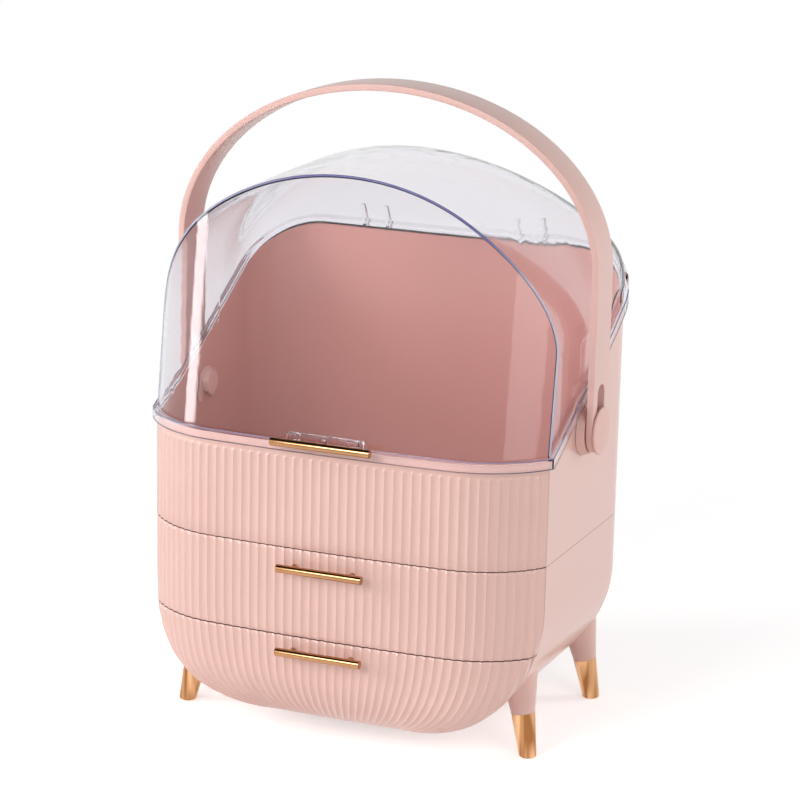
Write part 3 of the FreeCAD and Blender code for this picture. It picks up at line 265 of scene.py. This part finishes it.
def edge_tint_and_painted_light(name, deep, pale):
    """Where clear plastic is seen edge on: bluish in the middle of its run, paler at its ends; partly
    the plastic's own tint, partly painted reflection, and on the flange's foot painted shadow.
    """
    material, tree = new_material(name)
    place = node(tree, "ShaderNodeTexCoord").outputs["Object"]
    sideways = node(tree, "ShaderNodeSeparateXYZ", {"Vector": place}).outputs["X"]
    clouds = node(tree, "ShaderNodeTexNoise", {"Vector": place, "Scale": 30.0, "Detail": 2.0})
    shifted = node(tree, "ShaderNodeMath", {0: clouds.outputs["Fac"], 1: 0.05, 2: sideways},
                   operation="MULTIPLY_ADD")
    share = node(tree, "ShaderNodeMapRange",
                 {"Value": shifted.outputs[0], "From Min": -0.10, "From Max": 0.16})
    colour = ramp(tree, share.outputs["Result"],
                  ((0.0, pale), (0.45, deep), (0.8, deep), (1.0, pale)))
    shader = node(tree, "ShaderNodeBsdfPrincipled",
                  {"Base Color": colour, "Roughness": 0.18, "Coat Weight": 0.5,
                   "Coat Roughness": 0.05})
    node(tree, "ShaderNodeOutputMaterial", {"Surface": shader.outputs["BSDF"]})
    return material


PINK, PINK_SHADE = srgb(227, 186, 175), srgb(224, 182, 171)
# Painted shadow colour for the split line between case and housing.
SEAM_SHADOW_PINK = srgb(170, 122, 112)
SATIN = (0.285, 0.34)  # where a range crosses 0.274, the denoised render turns patchy

case_pink = moulded("case_pink", PINK, PINK_SHADE, SATIN, coat=0.3)
# The shell's inside colour is painted shade.
shell_pink = moulded("shell_pink", PINK, PINK_SHADE, SATIN, coat=0.3,
                     inside=srgb(203, 146, 135), seam=SEAM_SHADOW_PINK)
housing_pink = moulded("housing_pink", PINK, PINK_SHADE, SATIN, coat=0.3, seam=SEAM_SHADOW_PINK)
tray_pink = moulded("tray_pink", srgb(219, 172, 161), srgb(214, 165, 154), (0.45, 0.55))
handle_pink = moulded("handle_pink", srgb(226, 185, 176), srgb(222, 179, 169), (0.30, 0.36), coat=0.12,
                      grain=0.00001, grain_scale=240)
pivot_pink = moulded("pivot_pink", srgb(226, 182, 172), srgb(221, 176, 165), (0.38, 0.46))
clear = clear_plastic("clear_lid", (0.915, 0.905, 0.920, 1), (0.80, 0.78, 0.79, 1))
rose_gold = metal("rose_gold", srgb(190, 144, 104), srgb(180, 134, 94), (0.04, 0.08))
# The leg tips' colour clouds are stretched upright into light and dark streaks that paint reflection
# streaks.
leg_gold = metal("leg_gold", srgb(236, 188, 142), srgb(160, 108, 64), (0.08, 0.15),
                 streak_scale=(900, 900, 40), cloud_scale=(230, 230, 10))
# The lid's front and flange-top lines are partly the clear plastic's edge tint and partly painted
# reflection.
bead = edge_tint_and_painted_light("lid_edge", srgb(92, 90, 148), srgb(176, 178, 200))
flange_top_bead = edge_tint_and_painted_light("flange_top_edge", srgb(168, 146, 172), srgb(120, 118, 152))
# The flange's foot line is painted shadow under the flange's overhanging edge.
flange_foot_shadow_bead = edge_tint_and_painted_light("flange_foot_edge", srgb(140, 108, 108), srgb(96, 90, 110))
# Painted shade for the lips at the split lines, where the real gaps fall into shadow.
seam_shade = moulded("seam_shade", srgb(128, 84, 76), srgb(116, 74, 66), (0.5, 0.6))
steel = metal("steel", srgb(190, 190, 192), srgb(170, 170, 174), (0.25, 0.4))

FINISH = {
    "upper_case": shell_pink,
    "lower_housing": housing_pink,
    "upper_drawer_front": case_pink,
    "lower_drawer_front": case_pink,
    "drawer_shelf": tray_pink,
    "upper_drawer_tray": tray_pink,
    "lower_drawer_tray": tray_pink,
    "handle_strap": handle_pink,
    "lid_dome": clear,
    "lid_pull_bracket": clear,
}


def finish_of(name):
    """The material of a CAD node, by its name or by the kind that its name tells."""
    if name in FINISH:
        return FINISH[name]
    if name.startswith("leg_tip"):
        return leg_gold
    if name.endswith("_pull"):
        return rose_gold
    if name.endswith("screws") or name.startswith("hinge_pin"):
        return steel
    return pivot_pink


for name, cad in nodes.items():
    cad.data.materials.clear()
    cad.data.materials.append(finish_of(name))


# ---------------------------------------------------------------- fluted fronts

def half_width_at(z):
    """Half the case's width at a height; the sides turn in under the belly."""
    if z >= BELLY_Z:
        return HALF_WIDTH
    return BELLY_X + math.sqrt(max(BELLY_RADIUS ** 2 - (BELLY_Z - z) ** 2, 0))


def front_inset(x, z):
    """How far the rounding under the front stands inside the bowed front's own outline."""
    x = abs(x)
    if z >= BELLY_Z:
        depth, around_belly = HALF_WIDTH - x, 1.0
    elif x <= BELLY_X:
        depth, around_belly = z - BELLY_BOTTOM, 0.0
    else:
        depth = BELLY_RADIUS - math.hypot(x - BELLY_X, BELLY_Z - z)
        around_belly = math.atan2(x - BELLY_X, BELLY_Z - z) / (math.pi / 2)
    radius = BOWL_RADIUS + (CORNER_RADIUS - BOWL_RADIUS) * around_belly
    turned = (x - SHOULDER_X) / SHOULDER_RADIUS if x > SHOULDER_X else x / FRONT_RADIUS
    lean = min(turned, 1) * math.sin(around_belly * math.pi / 2)
    out = radius - max(depth, 0)
    if out <= radius * lean:
        return 0.0
    return radius - (out * lean + math.sqrt(1 - lean ** 2) * math.sqrt(radius ** 2 - out ** 2))


def front_y(x, z):
    """Where the smooth front stands at one place, without its flutes."""
    inset = front_inset(x, z)
    x = abs(x)
    reach = SHOULDER_RADIUS - inset
    if x < SHOULDER_X + reach * math.sin(SHOULDER_START):
        return FRONT_RADIUS - FRONT_REACH - math.sqrt((FRONT_RADIUS - inset) ** 2 - x ** 2)
    return SHOULDER_Y - math.sqrt(max(reach ** 2 - (x - SHOULDER_X) ** 2, 0))


CONTOUR_STEPS = 240


def front_contour(z, places, end_y=SEAM_Y):
    """Points at the given shares of the level line round the front at one height."""
    width = half_width_at(z)
    line = []
    for step in range(CONTOUR_STEPS + 1):
        x = -width * math.cos(math.pi * step / CONTOUR_STEPS)
        line.append((x, front_y(x, z)))
    line = [point for point in line if point[1] < end_y]
    line = [(line[0][0], end_y)] + line + [(line[-1][0], end_y)]
    points = np.array(line)
    lengths = np.concatenate(([0], np.cumsum(np.hypot(*np.diff(points, axis=0).T))))
    wanted = (np.array(places) + 1) / 2 * lengths[-1]
    return np.column_stack([np.interp(wanted, lengths, points[:, axis]) for axis in (0, 1)])


def flute_profile():
    """Shares along the front, with the height of the ribs there in shares of their full height."""
    half = RIB_PITCH / 2
    left_to_right = (*[-away for away in reversed(FLUTE_STATIONS)], -CREST_HALF,
                     CREST_HALF, *FLUTE_STATIONS, half)
    first = -(RIB_COUNT - 1) / 2 * RIB_PITCH
    places, heights = [], []
    for share in (0, 0.3, 0.6, 0.85, 1):
        places.append((-HALF_ARC + share * (first - half + HALF_ARC)) / HALF_ARC)
        heights.append(0)
    for rib in range(RIB_COUNT):
        middle = first + rib * RIB_PITCH
        for away in left_to_right:
            from_flute = half - abs(away)
            rise = FLUTE_RADIUS - math.sqrt(FLUTE_RADIUS ** 2 - from_flute ** 2)
            places.append((middle + away) / HALF_ARC)
            heights.append(rise / RIB_HEIGHT)
    last = -first + half
    for share in (0.15, 0.4, 0.7, 1):
        places.append((last + share * (HALF_ARC - last)) / HALF_ARC)
        heights.append(0)
    return places, np.array(heights)


def ease(value, low, high):
    """0 up to the low value, 1 from the high one, and a soft step between them."""
    share = min(max((value - low) / (high - low), 0), 1)
    return share * share * (3 - 2 * share)


def front_grid(levels, top_fade, end_y):
    """The fluted front as rows of points; the flutes run out under the bowl and below the rim."""
    places, heights = flute_profile()
    rows = np.array([np.column_stack([front_contour(z, places, end_y), np.full(len(places), z)])
                     for z in levels])
    along = np.gradient(rows, axis=1)
    upward = np.gradient(rows, axis=0)
    outward = np.cross(along, upward)
    outward /= np.linalg.norm(outward, axis=2)[:, :, None]
    full = np.linalg.norm(np.diff(front_contour(SPLIT_HIGH, places), axis=0), axis=1).sum()
    for index, z in enumerate(levels):
        length = np.linalg.norm(np.diff(rows[index], axis=0), axis=1).sum()
        share = ease(z, *BOWL_FADE) * length / full
        if top_fade:
            share *= 1 - ease(z, *top_fade)
        rows[index] += outward[index] * (heights * RIB_HEIGHT * share)[:, None]
    for end, beside in ((0, 1), (-1, -2)):
        if abs(levels[end] - levels[beside]) < NEAR_LEVEL:
            rows[end] -= outward[end] * EDGE_FALL
    return rows


def is_old_front(face, low, high):
    """Whether a face belongs to the CAD's ribbed outside or to its edges at the two heights."""
    x, y, z = face.calc_center_median()
    width = half_width_at(z)
    if y > SEAM_Y - OLD_SEAM_GAP or abs(x) > width + OLD_RIB_REACH:
        return False
    if not low - NEAR_LEVEL < z < high + NEAR_LEVEL or face.normal.y >= 0.7:
        return False
    behind = y - front_y(max(min(x, width), -width), z)
    at_edge = abs(z - low) < NEAR_LEVEL or abs(z - high) < NEAR_LEVEL
    if at_edge and abs(face.normal.z) > 0.95:
        return behind < OLD_EDGE_DEPTH
    return behind < OLD_RIB_DEPTH or width - abs(x) < OLD_SIDE_DEPTH


def through_wall(x, y, z):
    """The place behind a point of the front's edge, on the inside of its wall."""
    if abs(x) > SHOULDER_X:
        outward = Vector((abs(x) - SHOULDER_X, y - SHOULDER_Y)).normalized()
        inner = outward * (SHOULDER_RADIUS - FRONT_WALL)
        return (math.copysign(SHOULDER_X + inner.x, x), SHOULDER_Y + inner.y, z)
    return (x, front_y(x, max(z, STRAIGHT_FRONT_Z)) + FRONT_WALL, z)


PAINTED_SHADE_SLOT = 1  # the slot of the painted shade on the lips at the split lines, standing in for the shadow in the gaps


def add_lip(shape, row, flip):
    """The level strip from the front's edge back to the inside of its wall; all lips but the rim's get
    painted shade.
    """
    edge = [shape.verts.new(point) for point in row]
    back = [shape.verts.new(through_wall(*point)) for point in row]
    for index in range(len(row) - 1):
        quad = (edge[index], edge[index + 1], back[index + 1], back[index])
        lip = shape.faces.new(quad[::-1] if flip else quad)
        if row[0][2] < RIM_HEIGHT - NEAR_LEVEL:
            lip.material_index = PAINTED_SHADE_SLOT


def body_of(name):
    """The moving body that a CAD node belongs to."""
    bodies = frame["record"]["behaviour"]["bodies"]
    return next(body for body, members in bodies.items() if name in members)


def drop_custom_normals(mesh):
    """Removes the CAD's own normals, which no longer fit a changed mesh."""
    if mesh.attributes.get("custom_normal"):
        mesh.attributes.remove(mesh.attributes["custom_normal"])


def show_instead(name, mesh, ending):
    """Puts a mesh in the place of a CAD node, on the node's body."""
    piece = bpy.data.objects.new(name + ending, mesh)
    bpy.context.scene.collection.objects.link(piece)
    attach(piece, body_of(name))
    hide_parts(name)
    return piece


def fluted_front(name, levels, top_fade=None, end_y=SEAM_Y):
    """The node with its ribbed outer face built anew, so that the flutes follow the belly."""
    mesh = nodes[name].data.copy()
    mesh.materials.append(seam_shade)
    shape = bmesh.new()
    shape.from_mesh(mesh)
    old = [face for face in shape.faces if is_old_front(face, levels[0], levels[-1])]
    bmesh.ops.delete(shape, geom=old, context="FACES")
    rows = front_grid(levels, top_fade, end_y)
    grid = [[shape.verts.new(point) for point in row] for row in rows]
    for lower, upper in zip(grid, grid[1:]):
        for corners in zip(lower, lower[1:], upper[1:], upper):
            shape.faces.new(corners)
    closed_below = levels[0] < BOWL_FADE[1]
    if not closed_below:
        add_lip(shape, rows[0], flip=True)
    add_lip(shape, rows[-1], flip=False)
    for face in shape.faces:
        face.smooth = True
    shape.to_mesh(mesh)
    shape.free()
    drop_custom_normals(mesh)
    mesh.set_sharp_from_angle(angle=math.radians(50))
    show_instead(name, mesh, "_fluted")


def spread(low, high, count):
    """Evenly spaced heights from the low one to the high one."""
    return [low + (high - low) * step / (count - 1) for step in range(count)]


BOWL_TURNS = (4.84, 8, 11, 14, 17, 20, 24, 28, 32, 36, 40, 45, 50, 55, 60, 66, 72)
BOWL_TOP = 0.042
UNDER_FLANGE = 0.1975

bowl_levels = [BELLY_BOTTOM + BOWL_RADIUS * (1 - math.cos(math.radians(turn)))
               for turn in BOWL_TURNS]
fluted_front("lower_drawer_front",
             bowl_levels + spread(BOWL_TOP, LOWER_FRONT_TOP - EDGE_ROW, 14) + [LOWER_FRONT_TOP])
fluted_front("upper_drawer_front",
             [UPPER_FRONT_FOOT]
             + spread(UPPER_FRONT_FOOT + EDGE_ROW, UPPER_FRONT_TOP - EDGE_ROW, 22)
             + [UPPER_FRONT_TOP])
fluted_front("upper_case",
             [CASE_FRONT_FOOT] + spread(CASE_FRONT_FOOT + EDGE_ROW, RIB_FADE_START - EDGE_ROW, 8)
             + spread(RIB_FADE_START, RIB_END + EDGE_ROW, 8) + [UNDER_FLANGE, RIM_HEIGHT],
             top_fade=(RIB_FADE_START, RIB_END), end_y=CORNER_Y)


# ---------------------------------------------------------------- soft edges

def soften(name, radius, angle=34):
    """A copy of a moulding with its sharp edges rounded, shown in the moulding's place."""
    mesh = nodes[name].data.copy()
    shape = bmesh.new()
    shape.from_mesh(mesh)
    bmesh.ops.remove_doubles(shape, verts=shape.verts, dist=WELD)
    bmesh.ops.dissolve_limit(shape, angle_limit=math.radians(0.2), verts=shape.verts,
                             edges=shape.edges)
    shape.to_mesh(mesh)
    shape.free()
    drop_custom_normals(mesh)
    mesh.shade_smooth()
    piece = show_instead(name, mesh, "_soft")
    rounding = piece.modifiers.new("rounding", "BEVEL")
    rounding.limit_method = "ANGLE"
    rounding.angle_limit = math.radians(angle)
    rounding.width = radius
    rounding.segments = 2
    rounding.use_clamp_overlap = False
    rounding.harden_normals = True


for name in ("handle_strap", "lid_pull_bracket"):
    soften(name, radius=0.0003)


# ---------------------------------------------------------------- the clear lid's tinted edges

SHARP_ANGLE = math.radians(24)
FLANGE_TOP = 0.2036
ARCH_REAR = -0.055
ARCH_MIDDLE_Z = 0.235
FLANGE_OVERHANG = 0.0016
FLANGE_REAR = 0.100
FLANGE_MIDDLE_DROP = 0.001
ARCH_BEAD_RADIUS = 0.00075
FLANGE_BEAD_RADIUS = 0.00040
BEAD_SINK = 0.7  # how far a bead is sunk into its corner, in radii


def sharp_lid_edges(chosen):
    """The lid's sharp outer edges whose ends both pass the test: each end, with what it joins."""
    shape = bmesh.new()
    shape.from_mesh(nodes["lid_dome"].data)
    bmesh.ops.remove_doubles(shape, verts=shape.verts, dist=WELD)
    joined = {}
    for edge in shape.edges:
        if len(edge.link_faces) != 2 or not edge.is_convex:
            continue
        if edge.calc_face_angle() > SHARP_ANGLE and all(chosen(v.co) for v in edge.verts):
            first, second = (tuple(v.co) for v in edge.verts)
            joined.setdefault(first, []).append(second)
            joined.setdefault(second, []).append(first)
    shape.free()
    return joined


def reached_from(start, joined):
    """Every point that the edges connect with the start."""
    group, waiting = set(), [start]
    while waiting:
        point = waiting.pop()
        if point not in group:
            group.add(point)
            waiting += joined[point]
    return group


def in_order(group, joined):
    """The points one after the other along their edges, and whether they close into a loop."""
    tips = [point for point in group if len(joined[point]) == 1]
    run = [tips[0] if tips else next(iter(group))]
    seen = set(run)
    while True:
        following = [point for point in joined[run[-1]] if point not in seen]
        if not following:
            return run, not tips
        run.append(following[0])
        seen.add(run[-1])


def longest_lid_edge(chosen):
    """The longest chain of the lid's sharp outer edges that pass the test."""
    joined = sharp_lid_edges(chosen)
    runs, left = [], set(joined)
    while left:
        group = reached_from(next(iter(left)), joined)
        left -= group
        runs.append(in_order(group, joined))
    return max(runs, key=lambda found: len(found[0]))


def lid_bead(name, run, closed, radius, inward, finish):
    """A fine rounded line along one edge of the lid, sunk a little into its corner."""
    line = bpy.data.curves.new(name, "CURVE")
    line.dimensions = "3D"
    line.bevel_depth = radius
    line.bevel_resolution = 2
    line.use_fill_caps = True
    strand = line.splines.new("POLY")
    strand.points.add(len(run) - 1)
    strand.use_cyclic_u = closed
    for point, place in zip(strand.points, run):
        place = Vector(place)
        point.co = (*(place + inward(place) * radius * BEAD_SINK), 1)
    strand.use_smooth = True
    line.materials.append(finish)
    piece = bpy.data.objects.new(name, line)
    bpy.context.scene.collection.objects.link(piece)
    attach(piece, "lid")


def towards_arch_middle(place):
    """Into the lid's front corner: towards the middle of the arch and a little backwards."""
    flat = (Vector((0, 0, ARCH_MIDDLE_Z)) - Vector((place.x, 0, place.z))).normalized()
    return flat + Vector((0, 0.5, 0))


def towards_case_middle(place):
    """Level, towards the case's upright axis."""
    return Vector((-place.x, -place.y, 0)).normalized()


def on_front_arch(place):
    """Above the flange and near the lid's front."""
    return place.z > FLANGE_TOP and place.y < ARCH_REAR


def outside_case(place):
    """How far a place in plan stands outside the case's smooth outer face."""
    x, y = abs(place.x), place.y
    if y < CORNER_Y + 0.001:
        if x < SHOULDER_X:
            return math.hypot(x, y - (FRONT_RADIUS - FRONT_REACH)) - FRONT_RADIUS
        return math.hypot(x - SHOULDER_X, y - SHOULDER_Y) - SHOULDER_RADIUS
    return x - HALF_WIDTH


def below_flange_middle(place):
    """Whether a place is under the middle of the flange, which follows the rim."""
    along = max(place.y, CORNER_Y) - RIM_CENTRE_Y
    rim = RIM_CENTRE_Z - math.sqrt(RIM_RADIUS ** 2 - along ** 2)
    return place.z < rim - FLANGE_MIDDLE_DROP


def on_flange_edge(place):
    """On the flange's outer edge, short of its straight run at the back."""
    return outside_case(place) > FLANGE_OVERHANG and place.y < FLANGE_REAR


def on_flange_top(place):
    return on_flange_edge(place) and not below_flange_middle(place)


def on_flange_foot(place):
    return on_flange_edge(place) and below_flange_middle(place)


for name, test, radius, inward, finish in (
        ("lid_front_bead", on_front_arch, ARCH_BEAD_RADIUS, towards_arch_middle, bead),
        ("lid_flange_top_bead", on_flange_top, FLANGE_BEAD_RADIUS, towards_case_middle,
         flange_top_bead),
        ("lid_flange_foot_bead", on_flange_foot, FLANGE_BEAD_RADIUS, towards_case_middle,
         flange_foot_shadow_bead)):
    run, closed = longest_lid_edge(test)
    lid_bead(name, run, closed, radius, inward, finish)


# ---------------------------------------------------------------- camera, stage and light

CAMERA_AZIMUTH, CAMERA_ELEVATION, CAMERA_ROLL = 22.40, 14.37, 1.34  # degrees
CAMERA_TARGET = Vector((0.00167, 0.01527, 0.20597))
CAMERA_DISTANCE = 1.9557
CAMERA_LENS, CAMERA_SENSOR = 134.64, 36  # millimetres


def add_camera():
    """The photograph's camera, as fitted to points measured in the photograph."""
    azimuth, elevation, roll = (math.radians(angle) for angle in
                                (CAMERA_AZIMUTH, CAMERA_ELEVATION, CAMERA_ROLL))
    back = Vector((math.sin(azimuth) * math.cos(elevation),
                   -math.cos(azimuth) * math.cos(elevation), math.sin(elevation)))
    level = (-back).cross(Vector((0, 0, 1))).normalized()
    upright = level.cross(-back)
    right = level * math.cos(roll) + upright * math.sin(roll)
    up = upright * math.cos(roll) - level * math.sin(roll)
    camera = bpy.data.cameras.new("camera")
    camera.sensor_width = CAMERA_SENSOR
    camera.lens = CAMERA_LENS
    holder = bpy.data.objects.new("camera", camera)
    turn = Matrix((right, up, back)).transposed().to_4x4()
    holder.matrix_world = Matrix.Translation(CAMERA_TARGET + back * CAMERA_DISTANCE) @ turn
    bpy.context.scene.collection.objects.link(holder)
    bpy.context.scene.camera = holder


OBJECT_MIDDLE_Z = 0.2


def around(azimuth, elevation, distance):
    """A place round the object: azimuth from its front towards its right, in degrees."""
    turn, rise = math.radians(azimuth), math.radians(elevation)
    flat = distance * math.cos(rise)
    return (flat * math.sin(turn), -flat * math.cos(turn), OBJECT_MIDDLE_Z + distance * math.sin(rise))


def add_softbox(name, place, aim_z, width, height, power):
    """A soft rectangular lamp that faces the object's axis at one height."""
    lamp = bpy.data.lights.new(name, "AREA")
    lamp.shape = "RECTANGLE"
    lamp.size = width
    lamp.size_y = height
    lamp.energy = power
    holder = bpy.data.objects.new(name, lamp)
    direction = Vector((0, 0, aim_z)) - Vector(place)
    holder.matrix_world = (Matrix.Translation(Vector(place))
                           @ direction.to_track_quat("-Z", "Y").to_matrix().to_4x4())
    bpy.context.scene.collection.objects.link(holder)


# Sines of the elevations at which the mirrored room's walls end and its ceiling begins.
WALL_TOP, CEILING_LOW = 0.62, 0.72


def larger(tree, first, second):
    """The larger of two sockets."""
    return node(tree, "ShaderNodeMath", {0: first, 1: second}, operation="MAXIMUM").outputs[0]


def add_world(lit, seen, ceiling):
    """Even light on the object, plain white where the world is seen or seen through, and in
    mirrored views white walls under a dark ceiling."""
    world = bpy.data.worlds.new("world")
    bpy.context.scene.world = world
    world.use_nodes = True
    tree = world.node_tree
    tree.nodes.clear()
    path = node(tree, "ShaderNodeLightPath")
    straight = larger(tree, path.outputs["Is Camera Ray"], path.outputs["Is Transmission Ray"])
    plain = node(tree, "ShaderNodeMapRange", {"Value": straight, "To Min": lit, "To Max": seen})
    upward = node(tree, "ShaderNodeSeparateXYZ",
                  {"Vector": node(tree, "ShaderNodeTexCoord").outputs["Generated"]})
    room = node(tree, "ShaderNodeMapRange",
                {"Value": upward.outputs["Z"], "From Min": WALL_TOP, "From Max": CEILING_LOW,
                 "To Min": seen, "To Max": ceiling})
    strength = node(tree, "ShaderNodeMix",
                    {"Factor": path.outputs["Is Glossy Ray"], "A": plain.outputs["Result"],
                     "B": room.outputs["Result"]})
    shine = node(tree, "ShaderNodeBackground",
                 {"Color": (1, 1, 1, 1), "Strength": strength.outputs["Result"]})
    node(tree, "ShaderNodeOutputWorld", {"Surface": shine.outputs["Background"]})


FLOOR_REACH = 6.0
FLOOR_DROP = 0.0002  # under the feet, so that no two faces lie in one plane
PAPER = (0.92, 0.92, 0.92, 1)
NEAR_LIFT = 0.50  # about what the lit paper lacks to white
SHADOW_REACH, WHITE_REACH = 0.25, 0.75


def add_floor():
    """White paper that shows the object's shadow near it and is plain white farther away."""
    mesh = bpy.data.meshes.new("floor")
    corners = [(x * FLOOR_REACH, y * FLOOR_REACH, 0)
               for x, y in ((-1, -1), (1, -1), (1, 1), (-1, 1))]
    mesh.from_pydata(corners, [], [(0, 1, 2, 3)])
    floor = bpy.data.objects.new("floor", mesh)
    floor.location.z = -FLOOR_DROP
    bpy.context.scene.collection.objects.link(floor)
    material, tree = new_material("floor")
    path = node(tree, "ShaderNodeLightPath")
    straight = larger(tree, path.outputs["Is Camera Ray"], path.outputs["Is Transmission Ray"])
    looked_at = larger(tree, straight, path.outputs["Is Glossy Ray"])
    paper = node(tree, "ShaderNodeBsdfDiffuse", {"Color": PAPER})
    middle = node(tree, "ShaderNodeVectorMath",
                  {0: node(tree, "ShaderNodeTexCoord").outputs["Object"]}, operation="LENGTH")
    away = node(tree, "ShaderNodeMapRange",
                {"Value": middle.outputs["Value"], "From Min": SHADOW_REACH,
                 "From Max": WHITE_REACH})
    lift = node(tree, "ShaderNodeEmission", {"Color": (1, 1, 1, 1), "Strength": NEAR_LIFT})
    near = node(tree, "ShaderNodeAddShader", {0: paper.outputs[0], 1: lift.outputs[0]})
    far = node(tree, "ShaderNodeEmission", {"Color": (1, 1, 1, 1), "Strength": 1.0})
    bright = node(tree, "ShaderNodeMixShader",
                  {0: away.outputs["Result"], 1: near.outputs[0], 2: far.outputs[0]})
    mixed = node(tree, "ShaderNodeMixShader",
                 {0: looked_at, 1: paper.outputs[0], 2: bright.outputs[0]})
    node(tree, "ShaderNodeOutputMaterial", {"Surface": mixed.outputs["Shader"]})
    mesh.materials.append(material)


add_camera()
add_world(lit=0.30, seen=1.0, ceiling=0.03)
add_floor()
add_softbox("left_strip", around(-60, 8, 1.8), aim_z=0.22, width=0.42, height=1.4, power=19)
add_softbox("key", around(-14, 24, 2.0), aim_z=0.2, width=0.7, height=0.7, power=12.7)
add_softbox("right_front", around(62, 3, 1.8), aim_z=0.22, width=1.2, height=0.9, power=5.8)
add_softbox("right_fill", around(124, 8, 1.8), aim_z=0.2, width=0.6, height=1.2, power=11.0)
add_softbox("right_top", around(50, 34, 1.9), aim_z=0.22, width=0.5, height=0.5, power=3.0)

bpy.context.scene.view_settings.view_transform = "Standard"
